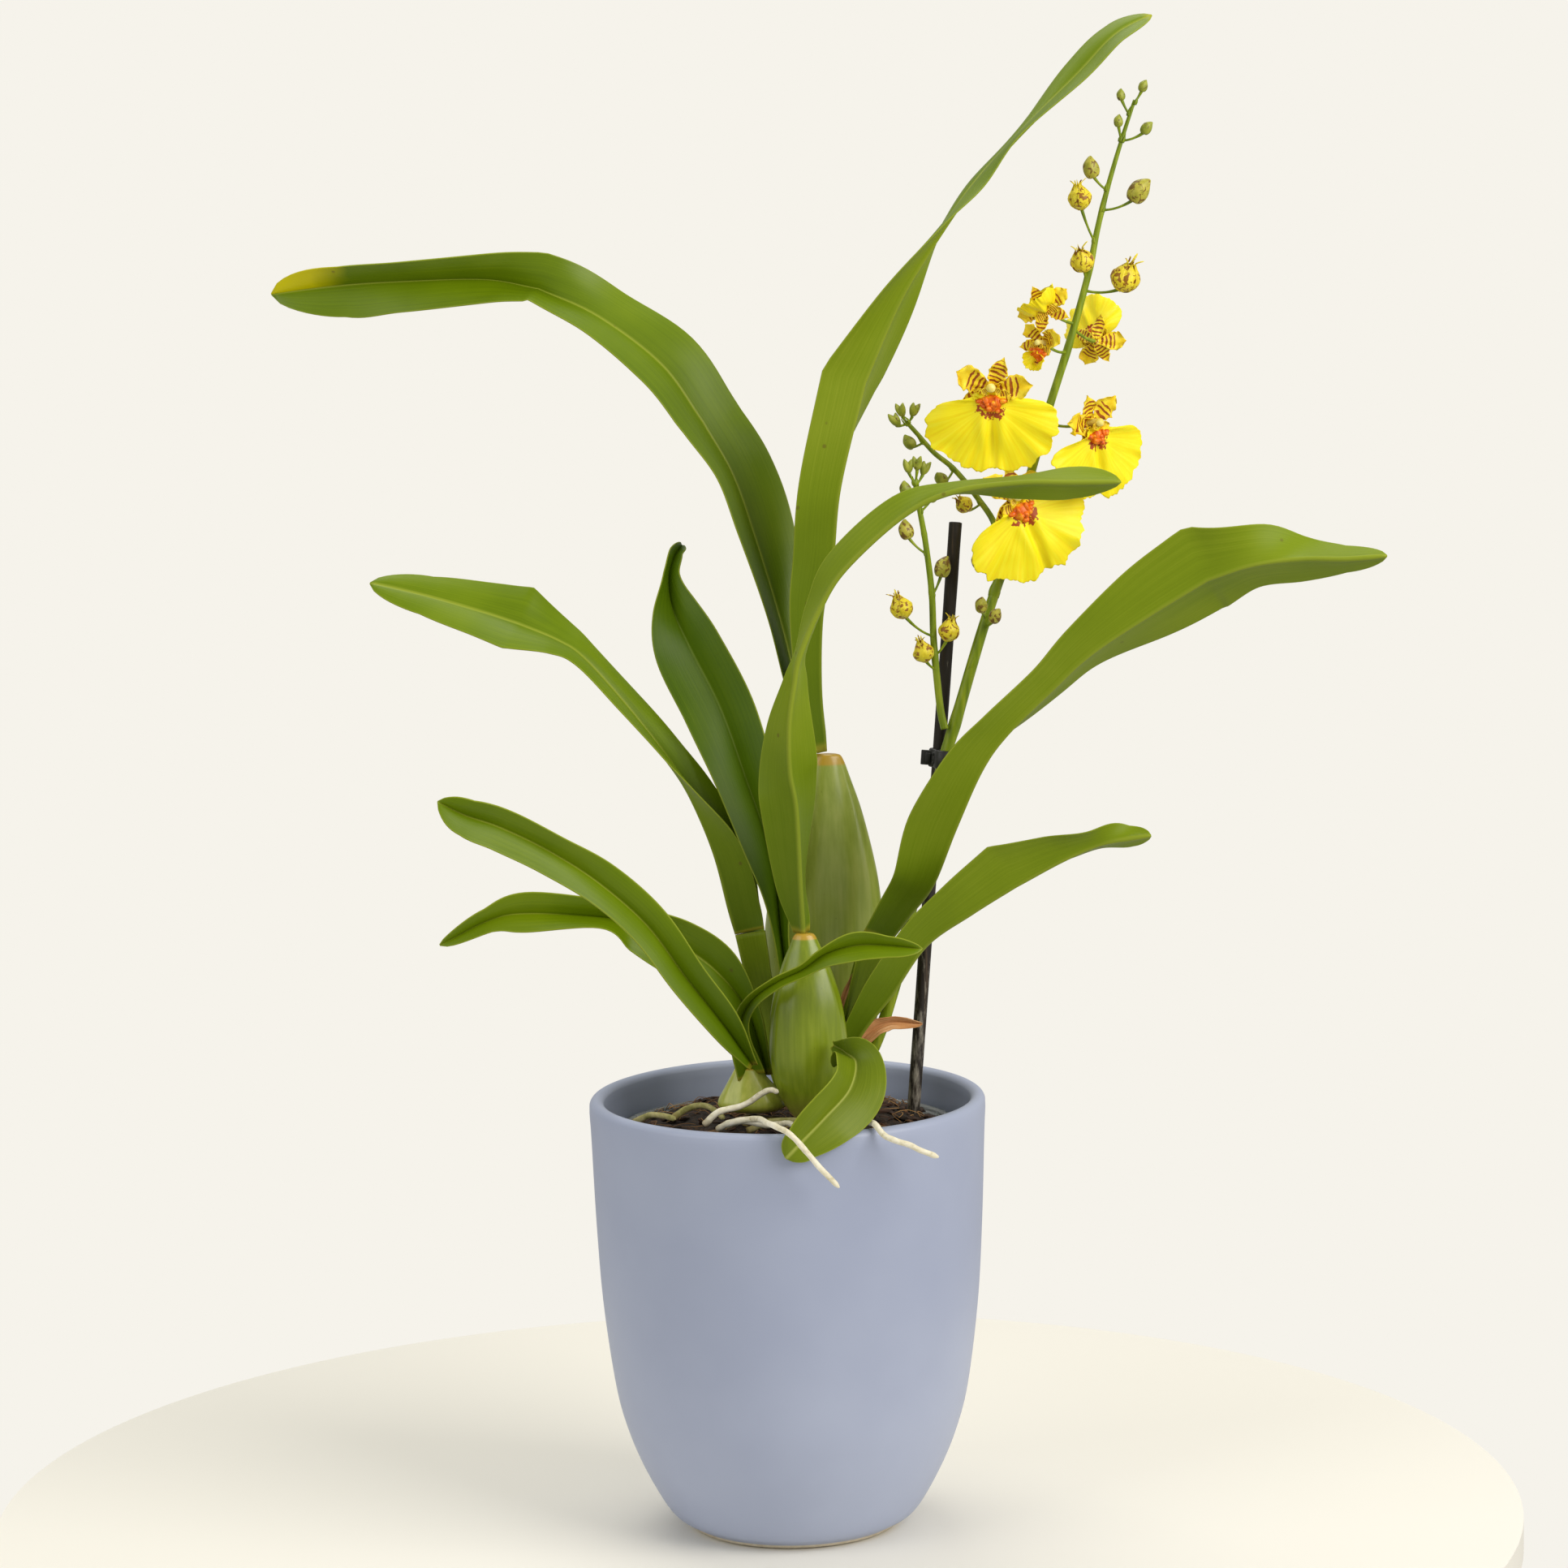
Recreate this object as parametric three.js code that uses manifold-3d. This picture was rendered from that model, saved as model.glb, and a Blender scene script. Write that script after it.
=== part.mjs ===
// Potted oncidium orchid: three pseudobulbs with their leaves, a tied flower spike and aerial roots,
// growing in a clear nursery pot that stands inside a glazed ceramic pot.
// Millimetres, +Z up, -Y to the front. The origin is the centre of the ceramic pot's foot.
import * as THREE from "three";
import { mergeVertices } from "three/addons/utils/BufferGeometryUtils.js";
import Module from "manifold-3d";

const wasm = await Module();
wasm.setup();

// Ceramic pot
const potHeight = 155;
const potRadius = 70;
const footRadius = 37.5;
const wallThickness = 5.3;
const floorThickness = 8;

// Nursery pot and the growing medium in it
const nurseryTopRadius = 60;
const nurseryFootRadius = 37;
const nurseryTop = 143;
const nurseryWall = 0.8;
const nurseryLip = 2;
const mediumTop = 149;
const gap = 0.4;

// Stake and clip
const stakeBase = new THREE.Vector3(45, 12, 147);
const stakeTop = new THREE.Vector3(63, 20, 355);
const stakeDepth = 80;
const stakeRadius = 2.3;
const clipHeight = 6.5;
const clipAt = 0.6;

// Leaves
const leafMiddle = 1.6;
const leafEdge = 0.9;
const stemSides = 6;
const pedicelRadius = 0.7;

const green = { color: 0x66791c, roughness: 0.5, metalness: 0 };
const darkGreen = { color: 0x43580f, roughness: 0.45, metalness: 0 };
const bulbGreen = { color: 0x6f7f1f, roughness: 0.4, metalness: 0 };
const stemGreen = { color: 0x86891a, roughness: 0.55, metalness: 0 };
const yellow = { color: 0xfbe914, roughness: 0.6, metalness: 0 };
const barred = { color: 0xc98a1c, roughness: 0.6, metalness: 0 };
const rootWhite = { color: 0xe6dfc0, roughness: 0.8, metalness: 0 };
const rootGreen = { color: 0x9a9a52, roughness: 0.8, metalness: 0 };

const plant = new THREE.Group();

// ---------------------------------------------------------------- shared shaping

function addPart(name, geometry, finish, parent = plant) {
  const mesh = new THREE.Mesh(geometry, new THREE.MeshStandardMaterial(finish));
  mesh.name = name;
  parent.add(mesh);
  return mesh;
}

// Only positions are kept, with corners that coincide made into one.
function weld(geometry) {
  const bare = geometry.clone();
  bare.deleteAttribute("normal");
  bare.deleteAttribute("uv");
  return mergeVertices(bare, 1e-4);
}

function toSolid(geometry) {
  const welded = weld(geometry);
  return new wasm.Manifold(
    new wasm.Mesh({
      numProp: 3,
      vertProperties: new Float32Array(welded.attributes.position.array),
      triVerts: new Uint32Array(welded.index.array),
    }),
  );
}

function toGeometry(solid) {
  const mesh = solid.getMesh();
  const geometry = new THREE.BufferGeometry();
  geometry.setAttribute("position", new THREE.BufferAttribute(mesh.vertProperties, 3));
  geometry.setIndex(new THREE.BufferAttribute(mesh.triVerts, 1));
  geometry.computeVertexNormals();
  return geometry;
}

function join(geometries) {
  const solids = geometries.map(toSolid);
  return toGeometry(solids.reduce((whole, piece) => whole.add(piece)));
}

function cut(geometry, tools) {
  return toGeometry(tools.reduce((whole, tool) => whole.subtract(toSolid(tool)), toSolid(geometry)));
}

// Moves each corner of a closed geometry to where `place` puts it.
function reshape(geometry, place) {
  const position = geometry.attributes.position;
  const point = new THREE.Vector3();
  for (let i = 0; i < position.count; i += 1) {
    point.fromBufferAttribute(position, i);
    const moved = place(point);
    position.setXYZ(i, moved.x, moved.y, moved.z);
  }
  return weld(geometry);
}

// A turned solid about +Z from [radius, height] points that start and end on the axis.
function turned(profile, segments) {
  const points = profile.map(([radius, height]) => new THREE.Vector2(radius, height));
  const geometry = new THREE.LatheGeometry(points, segments);
  geometry.rotateX(Math.PI / 2);
  return weld(geometry);
}

function curveThrough(points) {
  const corners = points.map(([x, y, z]) => new THREE.Vector3(x, y, z));
  return new THREE.CatmullRomCurve3(corners, false, "centripetal");
}

// A round rod along a curve, with its radius read from radiusAt(0 to 1).
function rod(curve, radiusAt, steps, sides = stemSides) {
  const frames = curve.computeFrenetFrames(steps, false);
  const cylinder = new THREE.CylinderGeometry(1, 1, 1, sides, steps);
  return reshape(cylinder, (corner) => {
    const along = corner.y + 0.5;
    const step = Math.round(along * steps);
    const radius = radiusAt(along);
    return curve
      .getPointAt(along)
      .addScaledVector(frames.binormals[step], corner.x * radius)
      .addScaledVector(frames.normals[step], corner.z * radius);
  });
}

function mix(from, to, share) {
  return from + (to - from) * share;
}

// A leaf blade or sheath. Each station along the midrib, from base to tip, is
// [x, y, z, half width, left turn, right turn]: a turn is the angle in degrees by which that half of
// the blade leaves the upright left-right plane, towards the front when it is positive.
function blade(stations) {
  const midrib = curveThrough(stations);
  const spans = stations.length - 1;
  const steps = spans * 2;
  const box = new THREE.BoxGeometry(2, 1, 1, 2, 1, steps);
  const depth = new THREE.Vector3(0, 1, 0);
  return reshape(box, (corner) => {
    const along = corner.z + 0.5;
    const from = Math.min(Math.floor(along * spans), spans - 1);
    const share = along * spans - from;
    const [, , , width, left, right] = stations[from].map((value, i) => mix(value, stations[from + 1][i], share));
    const direction = midrib.getTangent(along);
    const side = depth.clone().cross(direction).normalize();
    const front = side.clone().cross(direction).normalize();
    const outward = (turn, sign) =>
      side.clone().multiplyScalar(sign * Math.cos(turn)).addScaledVector(front, Math.sin(turn));
    const leftHalf = outward(THREE.MathUtils.degToRad(left), -1);
    const rightHalf = outward(THREE.MathUtils.degToRad(right), 1);
    const normals = [leftHalf.clone().negate(), rightHalf].map((half) => direction.clone().cross(half));
    const half = corner.x < 0 ? leftHalf : rightHalf;
    const normal = normals[0].clone().add(normals[1]).normalize();
    if (corner.x < 0) normal.copy(normals[0]);
    if (corner.x > 0) normal.copy(normals[1]);
    const thickness = mix(leafMiddle, leafEdge, Math.abs(corner.x));
    return midrib
      .getPoint(along)
      .addScaledVector(half, Math.abs(corner.x) * width)
      .addScaledVector(normal, corner.y * thickness);
  });
}

// ---------------------------------------------------------------- pots and growing medium

const potOutline = [
  [footRadius, 0],
  [44.7, 6.6],
  [53.2, 21.5],
  [59.1, 36.4],
  [62.9, 52],
  [66.6, 81],
  [68.4, 110],
  [69.5, 140],
  [potRadius, 150],
];

function makeCeramicPot() {
  const middle = potRadius - wallThickness / 2;
  const lip = [70, 110].map((degrees) => {
    const angle = THREE.MathUtils.degToRad(degrees);
    const reach = wallThickness / 2;
    return [middle + Math.cos(angle) * reach, potHeight - reach + Math.sin(angle) * reach];
  });
  const inside = potOutline
    .slice(1)
    .reverse()
    .map(([radius, height]) => [radius - wallThickness, Math.max(height, floorThickness)]);
  const profile = [[0, 0], ...potOutline, [potRadius, potHeight - 3], ...lip, ...inside, [0, floorThickness]];
  return turned(profile, 36);
}

function makeNurseryPot() {
  const foot = floorThickness + gap;
  const profile = [
    [0, foot],
    [nurseryFootRadius, foot],
    [nurseryTopRadius, nurseryTop - nurseryLip],
    [nurseryTopRadius + 1.5, nurseryTop - nurseryLip],
    [nurseryTopRadius + 1.5, nurseryTop],
    [nurseryTopRadius - nurseryWall, nurseryTop],
    [nurseryFootRadius - nurseryWall, foot + nurseryWall * 2],
    [0, foot + nurseryWall * 2],
  ];
  return turned(profile, 32);
}

function stakeLine(from, to) {
  return new THREE.LineCurve3(from, to);
}

// The stake leans; its foot is pushed straight on into the medium.
const stakeLean = stakeTop.clone().sub(stakeBase).normalize();
const stakeFoot = stakeBase.clone().addScaledVector(stakeLean, -stakeDepth);

const rhizomeLine = curveThrough([
  [-15, -16, 149],
  [-3, -20, 147.5],
  [6, -24, 147.5],
  [11, -8, 148],
  [12, 10, 149],
  [13, 20, 150],
]);
const rhizomeRadius = (along) => 4 - 1.2 * Math.abs(2 * along - 1) ** 3;

function makeMedium() {
  const foot = floorThickness + gap + nurseryWall * 2 + gap;
  const slope = (nurseryTopRadius - nurseryFootRadius) / (nurseryTop - nurseryLip - floorThickness);
  const edge = 141;
  const inner = nurseryFootRadius - nurseryWall - gap * 2;
  const profile = [
    [0, foot],
    [inner, foot],
    [inner + slope * (edge - foot), edge],
    [50, 145.5],
    [34, mediumTop],
    [0, mediumTop],
  ];
  const hole = rod(stakeLine(stakeFoot.clone().addScaledVector(stakeLean, -1), stakeTop), () => stakeRadius + gap, 1);
  const bed = rod(rhizomeLine, (along) => rhizomeRadius(along) + gap, 12);
  return cut(turned(profile, 32), [hole, bed]);
}

addPart("ceramic_pot", makeCeramicPot(), { color: 0x8c9ab8, roughness: 0.45, metalness: 0 });
addPart("nursery_pot", makeNurseryPot(), { color: 0xb9c0c0, roughness: 0.25, metalness: 0 });
addPart("growing_medium", makeMedium(), { color: 0x2a1c10, roughness: 0.95, metalness: 0 });

// ---------------------------------------------------------------- stake and clip

const stake = rod(stakeLine(stakeFoot, stakeTop), () => stakeRadius, 1, 10);
addPart("support_stake", stake, { color: 0x292411, roughness: 0.7, metalness: 0 });

// The clip is two rings side by side, the stake in one and the flower stem in the other, with a tab.
function makeClip(stem) {
  const rings = [
    [0, 0, 3.6],
    [1.9, -5, 3.8],
  ].map(([x, y, radius]) => {
    const ring = new THREE.CylinderGeometry(radius, radius, clipHeight, 14);
    ring.rotateX(Math.PI / 2);
    ring.translate(x, y, 0);
    return ring;
  });
  const tab = new THREE.BoxGeometry(4, 1.6, clipHeight * 0.8);
  tab.translate(-4.4, -1.5, 0);
  const body = join([...rings, tab]);
  body.applyQuaternion(new THREE.Quaternion().setFromUnitVectors(new THREE.Vector3(0, 0, 1), stakeLean));
  body.translate(...stakeBase.clone().lerp(stakeTop, clipAt));
  return cut(body, [rod(stakeLine(stakeFoot, stakeTop), () => stakeRadius + gap, 1, 12), stem]);
}

// ---------------------------------------------------------------- pseudobulbs and rhizome

// A pseudobulb is a flattened turned solid: [share of half width, height] points, then made oval.
function makePseudobulb(halfWidth, halfDepth, height, lean, outline) {
  const solid = turned([[0, 0], ...outline.map(([share, at]) => [share * halfWidth, at * height]), [0, height]], 18);
  return reshape(solid, (corner) =>
    new THREE.Vector3(corner.x + (lean * corner.z) / height, (corner.y * halfDepth) / halfWidth, corner.z),
  );
}

const plumpOutline = [
  [0.42, 0],
  [0.74, 0.12],
  [0.93, 0.27],
  [0.97, 0.42],
  [0.9, 0.58],
  [0.78, 0.7],
  [0.58, 0.835],
  [0.4, 0.925],
  [0.24, 1],
];
const stubOutline = [
  [0.9, 0],
  [1, 0.2],
  [0.75, 0.55],
  [0.45, 0.85],
  [0.36, 1],
];

const bulbs = [
  { name: "pseudobulb_back", at: [12, 12, 153.5], size: [22, 11.5, 121], lean: 4, outline: plumpOutline },
  { name: "pseudobulb_front", at: [8, -27, 152.2], size: [14, 10, 65], lean: -1, outline: plumpOutline },
  { name: "pseudobulb_left", at: [-13, -19, 153.6], size: [10.5, 7, 14.5], lean: -2, outline: stubOutline },
];
for (const { name, at, size, lean, outline } of bulbs) {
  addPart(name, makePseudobulb(...size, lean, outline), bulbGreen).position.set(...at);
}
addPart("rhizome", rod(rhizomeLine, rhizomeRadius, 12), { color: 0x7a7438, roughness: 0.8, metalness: 0 });

// ---------------------------------------------------------------- leaves, sheaths and bract

const leaves = {
  leaf_back_left: [
    [11, 17, 276, 4, 60, -20],
    [6, 18, 297, 8, 65, -25],
    [0, 20, 322, 12, 75, -25],
    [-9, 24, 353, 15.5, 75, -15],
    [-16, 28, 373, 16, 75, -20],
    [-26, 32, 391, 16, 65, -30],
    [-40, 37, 411, 16, 60, -25],
    [-62, 42, 428, 14, 65, -30],
    [-83, 46, 438, 14, 75, 15],
    [-102, 49, 442, 13, 50, 45],
    [-131, 52, 442, 12.5, 30, 55],
    [-153, 54, 441, 12, 20, 55],
    [-179, 56, 438, 1, 30, 30],
  ],
  leaf_back_tall: [
    [15.5, 8, 276, 4, 50, -110],
    [14, 7, 298, 10, 40, -125],
    [15, 4, 324, 13.5, 35, -120],
    [19, 1, 344, 14.5, 20, -110],
    [22, -2, 370, 15, 20, -100],
    [31, -5, 406, 16, 20, -70],
    [44, -5, 435, 12, 55, -60],
    [58, -3, 457, 10, 85, -85],
    [70, 1, 473, 9, 110, -100],
    [85, 6, 489, 8, 95, -95],
    [107, 10, 510, 8.5, 110, -130],
    [120, 12, 523, 7.5, 110, -130],
    [133, 14, 530, 1, 110, -130],
  ],
  leaf_front_arching: [
    [6.6, -27.3, 218, 4.2, -40, -60],
    [6, -30, 232, 10, -35, -80],
    [5, -34, 261, 13.5, -25, -60],
    [3, -36, 275, 13.5, -40, -45],
    [3, -38, 291, 12.5, -55, -50],
    [5, -39, 305, 11, -70, -65],
    [7, -40, 315, 10, -80, -80],
    [14, -41, 331, 9.5, -60, -85],
    [23, -43, 345, 10, -45, -90],
    [43, -46, 363, 9.5, -45, -90],
    [60, -48, 371, 8, -70, -80],
    [82, -52, 374, 8, -75, -45],
    [100, -55, 374, 8, -55, -45],
    [116, -57, 374, 1, -50, -50],
  ],
  leaf_left_twisted: [
    [-17, -3, 215, 11, 160, -30],
    [-19, -3, 222, 11.5, 160, -25],
    [-24, -1, 242, 12.5, 145, -10],
    [-32, 3, 262, 9, 110, -15],
    [-41, 6, 276, 7.5, 90, -20],
    [-55, 10, 294, 8, 75, -45],
    [-69, 12, 310, 8, 70, -50],
    [-78, 14, 316, 11, 70, -50],
    [-92, 16, 322, 15.5, 60, -30],
    [-104, 18, 326, 13, 55, -35],
    [-124, 20, 332, 9, 50, -40],
    [-144, 22, 337, 1, 50, -40],
  ],
  leaf_dark_upright: [
    [3, -9, 172, 4, 65, 60],
    [-1, -8, 213, 6, 65, 60],
    [-4, -3, 241, 12, 45, 45],
    [-13, 6, 269, 14, 40, 40],
    [-21, 12, 292, 14.5, 25, 35],
    [-31, 18, 312, 14, 25, 35],
    [-37, 23, 325, 11, 55, 40],
    [-39, 27, 336, 7, 80, 55],
    [-37, 32, 343, 5, 65, 60],
    [-34, 38, 347, 1, 60, 60],
  ],
  leaf_low_left: [
    [-12, -30, 172, 3, 60, 50],
    [-22, -37, 188, 8, 60, 40],
    [-34, -42, 205, 9, 55, 35],
    [-47, -45, 224, 9, 50, 25],
    [-63, -51, 240, 9, 50, 20],
    [-79, -56, 252, 9, 40, 35],
    [-95, -60, 261, 9, 35, 35],
    [-107, -63, 266, 8, 40, 40],
    [-116, -65, 271, 1, 40, 40],
  ],
  leaf_low_left_behind: [
    [-7, -14, 165, 4, 60, 60],
    [-13, -13, 187, 7, 55, 50],
    [-24, -13, 202, 11, 40, 30],
    [-37, -13, 212, 12, 25, 35],
    [-51, -14, 219, 11, 40, 45],
    [-64, -15, 222, 9, 75, 35],
    [-90, -16, 224, 9, 55, 25],
    [-103, -17, 222, 6, 50, 40],
    [-120, -19, 214, 1, 50, 50],
  ],
  leaf_right_broad: [
    [37, -10, 212, 11, 30, -140],
    [44, -14, 221, 13, 25, -135],
    [52, -18, 232, 16, 25, -130],
    [60, -22, 252, 19, 25, -120],
    [69, -26, 273, 17, 35, -100],
    [78, -28, 286, 14, 40, -80],
    [94, -31, 302, 12, 35, -65],
    [107, -34, 314, 14, 30, -60],
    [128, -38, 328, 18, 15, -50],
    [146, -41, 339, 20, 10, -50],
    [161, -44, 344, 14, 5, -50],
    [178, -47, 346, 12, -55, -45],
    [192, -50, 346, 8, -60, -50],
    [206, -52, 347, 1, -60, -50],
  ],
  leaf_right_low: [
    [27, -18, 181, 6, 20, -150],
    [37, -21, 194, 11, 20, -150],
    [49, -26, 212, 11, 20, -140],
    [65, -32, 224, 14.5, 15, -120],
    [80, -37, 234, 17.5, 10, -100],
    [95, -41, 243, 11, 15, -75],
    [108, -43, 249, 7, 30, -65],
    [119, -45, 251, 5, -45, -50],
    [126, -46, 252, 1, -45, -50],
  ],
  leaf_curved_small: [
    [-15, -19, 171, 4, 50, 45],
    [-16, -22, 179, 4.5, 50, 45],
    [-15, -27, 188, 4, 50, 50],
    [-11, -34, 196, 4, 55, 55],
    [-3, -42, 203, 4, 60, 60],
    [6, -46, 208, 4.5, 65, 60],
    [14, -49, 214, 6, 65, 50],
    [25, -52, 217, 7, 40, 50],
    [36, -54, 217, 5.5, 45, 55],
    [47, -56, 216, 1, 50, 50],
  ],
  leaf_new_front: [
    [16.8, -38, 179.7, 2, 50, 45],
    [20.5, -43, 178.3, 5.5, 45, 40],
    [23.7, -50, 175.6, 9.5, 25, 40],
    [21, -59, 168.3, 12.5, 12, 45],
    [12.8, -66.5, 160.7, 11.5, 8, 45],
    [4.2, -71.3, 152.7, 7, 5, 25],
    [-0.9, -72.6, 147.6, 1, 5, 15],
  ],
};
const sheaths = {
  sheath_left: [
    [-3, -5, 157, 5, 130, -50],
    [-8, -4, 176, 8, 140, -45],
    [-13, -3, 197, 10, 150, -35],
    [-16.5, -3, 213, 11, 155, -30],
  ],
  sheath_right: [
    [19, -9, 158, 6, 45, -145],
    [26, -9, 178, 9, 40, -145],
    [31, -9, 196, 10, 35, -145],
    [36, -10, 210, 11, 30, -140],
  ],
};
const dryBract = [
  [24, -13, 171, 3, 40, 40],
  [28, -12, 178, 4, 40, 50],
  [36, -9, 182, 3.5, 50, 50],
  [48, -3, 180, 0.8, 50, 50],
];

for (const [name, stations] of Object.entries(leaves)) {
  addPart(name, blade(stations), name === "leaf_dark_upright" ? darkGreen : green);
}
for (const [name, stations] of Object.entries(sheaths)) {
  addPart(name, blade(stations), green);
}
addPart("dry_bract", blade(dryBract), { color: 0xb98a55, roughness: 0.85, metalness: 0 });

// ---------------------------------------------------------------- aerial roots

const roots = [
  { points: [[-29, -31, 151], [-24, -32, 155.5], [-15, -31, 158], [-7, -33, 163], [-3, -35, 163]], finish: rootWhite },
  {
    points: [[-24, -41, 151.5], [-20, -48, 155], [-11, -56, 158], [-5.5, -69, 158.8], [1, -77.2, 156.6], [10, -81, 147], [17, -81, 139]],
    finish: rootWhite,
  },
  { points: [[-21, -38, 152], [-15, -42, 154.5], [-7, -48, 154], [0, -52, 155.5], [4, -55, 154.5]], finish: rootWhite },
  { points: [[-14, -39, 150.5], [-6, -37, 153], [4, -39, 153.5], [12, -40, 150.5]], finish: rootGreen },
  {
    points: [[19, -46, 151.5], [23.5, -54, 155], [29, -61.5, 157.2], [33.5, -67.5, 153.6], [42, -71, 150.5], [51, -72, 147]],
    finish: rootWhite,
  },
  { points: [[-54, -10, 148], [-47, -15, 151.5], [-39, -22, 151.5]], finish: rootGreen },
  { points: [[-40, -15, 150.5], [-34, -12, 153.5], [-28, -14, 154], [-22, -25, 152]], finish: rootGreen },
];
roots.forEach(({ points, finish }, i) => {
  const root = rod(curveThrough(points), (along) => mix(1.15, 0.95, along), points.length * 3 - 2, 6);
  addPart(`aerial_root_${i + 1}`, root, finish);
});

// ---------------------------------------------------------------- flower spike

const spikeLine = curveThrough([
  [20, 5, 157],
  [31, 6, 170],
  [40, 8, 197],
  [47, 10, 228],
  [54, 11, 258],
  [57.2, 11.4, 271],
  [62, 12, 286],
  [71, 14, 315],
  [79, 17, 338],
  [88, 20, 366],
  [96, 22, 393],
  [104, 24, 417],
  [111, 26, 441],
  [114.5, 27, 457],
  [118.5, 28, 472],
  [123.5, 29, 488],
  [128, 30, 501],
]);
const spikeRadius = (along) => mix(2.2, 0.6, Math.max(0, along - 0.35) / 0.65);

const leftSprayLine = curveThrough([
  [57.8, 9.2, 283],
  [56.3, 10, 291],
  [54.5, 12, 313],
  [54, 12, 331],
  [52, 11, 349],
  [50, 10, 361],
  [48.5, 9, 371],
]);
const backSprayLine = curveThrough([
  [75, 21.5, 344],
  [77, 25, 353],
  [71, 28, 363],
  [63, 29, 373],
  [56, 28, 379],
  [50, 27, 386],
  [46.5, 26, 390],
]);

// Buds: centre, the point on the stem that carries the stalk, and the bud's width.
const spikeBuds = [
  { at: [131, 30, 506], from: [129, 30, 500], width: 3.4 },
  { at: [123, 29, 503], from: [126.5, 29.5, 496], width: 3.2 },
  { at: [122, 28, 494], from: [124, 29, 487], width: 3.4 },
  { at: [132, 28, 491.5], from: [124.5, 29, 487], width: 4 },
  { at: [112, 26, 478], from: [118.5, 27.5, 470], width: 6 },
  { at: [108, 24, 468], from: [114, 26.5, 452], width: 8.2 },
  { at: [129, 25, 470], from: [118, 27.5, 463], width: 7.6 },
  { at: [71, 7, 327], from: [73, 15, 321], width: 4.6 },
  { at: [76, 8, 323], from: [72, 14, 318], width: 4.6 },
  { at: [70, 12, 342], from: [78, 16.5, 335], width: 4.6 },
];
const leftSprayBuds = [
  { at: [46, 7, 376], from: [48.6, 10, 370], width: 4 },
  { at: [49.5, 7, 377], from: [48.8, 10, 370], width: 4 },
  { at: [52, 11, 375], from: [49, 10, 369], width: 4 },
  { at: [45, 8, 368], from: [49.5, 10.5, 364], width: 4.4 },
  { at: [54.5, 11, 366], from: [50.5, 11, 360], width: 5 },
  { at: [45, 11, 353.5], from: [51.5, 12, 345], width: 5.5 },
  { at: [58, 14, 340], from: [54, 13, 330], width: 6 },
  { at: [43, 6, 327], from: [54.5, 14, 316], width: 8 },
  { at: [60, 11, 318], from: [54.8, 14, 309], width: 7.5 },
  { at: [50.5, 8, 311], from: [54.8, 14, 304], width: 7.5 },
];
const backSprayBuds = [
  { at: [42, 25, 391], from: [47, 26, 390], width: 4.2 },
  { at: [44.5, 25, 394.5], from: [47, 26, 390.5], width: 4 },
  { at: [49, 26, 394.5], from: [47.2, 26, 390], width: 4 },
  { at: [47, 27, 383], from: [53, 27.5, 383], width: 4.4 },
  { at: [58, 25, 370], from: [63, 29, 373], width: 4.6 },
  { at: [66, 24, 361], from: [72, 28, 361], width: 6 },
];

// The point of a stem's centre line nearest to a given one, where a stalk takes root.
function rootOn(line, [x, y, z]) {
  const wanted = new THREE.Vector3(x, y, z);
  const points = line.getSpacedPoints(200);
  return points.reduce((best, point) => (point.distanceTo(wanted) < best.distanceTo(wanted) ? point : best));
}

// A bud is a drop shape with a blunt point, standing on the end of its stalk.
function makeBud(at, foot, width) {
  const centre = new THREE.Vector3(...at);
  const aim = centre.clone().sub(foot).normalize().lerp(new THREE.Vector3(0, 0, 1), 0.5).normalize();
  const length = width * 1.35;
  const drop = turned([[0, 0], [0.33, 0.12], [0.5, 0.45], [0.36, 0.78], [0, 1]].map(([r, h]) => [r * width, h * length]), 6);
  drop.translate(0, 0, -length / 2);
  drop.applyQuaternion(new THREE.Quaternion().setFromUnitVectors(new THREE.Vector3(0, 0, 1), aim));
  drop.translate(...at);
  const end = centre.clone().addScaledVector(aim, -length * 0.35);
  return [drop, makeStalk(foot, end)];
}

function makeStalk(from, to) {
  const bend = from.clone().lerp(to, 0.5).add(new THREE.Vector3(0, 0, -0.12 * from.distanceTo(to)));
  return rod(new THREE.QuadraticBezierCurve3(from, bend, to), () => pedicelRadius, 2, 4);
}

function makeSpray(line, radiusAt, steps, buds, stalks = []) {
  const stem = rod(line, radiusAt, steps);
  const grown = buds.flatMap(({ at, from, width }) => makeBud(at, rootOn(line, from), width));
  return join([stem, ...grown, ...stalks]);
}

// ---------------------------------------------------------------- flowers

// The lip hangs from the callus at the flower's centre: two ruffled lobes with a notch between.
function makeLip() {
  const half = [
    [2.2, -0.6],
    [5.5, -1],
    [7, -4.2],
    [12, -3],
    [18, -3.6],
    [22.5, -9],
    [21.5, -17],
    [15, -23],
    [7, -25.5],
  ];
  const right = half.map(([x, y]) => new THREE.Vector2(x, y));
  const left = half.map(([x, y]) => new THREE.Vector2(-x, y)).reverse();
  const outline = new THREE.Shape();
  outline.moveTo(right[0].x, right[0].y);
  outline.splineThru([...right.slice(1), new THREE.Vector2(0, -23), ...left]);
  const sheet = new THREE.ExtrudeGeometry(outline, { depth: 1.2, bevelEnabled: false, curveSegments: 2 });
  const bent = reshape(sheet, (p) => new THREE.Vector3(p.x, p.y, p.z + 2 - 0.007 * (p.x ** 2 + p.y ** 2)));
  const callus = new THREE.SphereGeometry(1, 6, 4);
  callus.scale(4.5, 2.6, 2.4);
  callus.translate(0, -4, 3);
  return join([bent, callus]);
}

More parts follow.
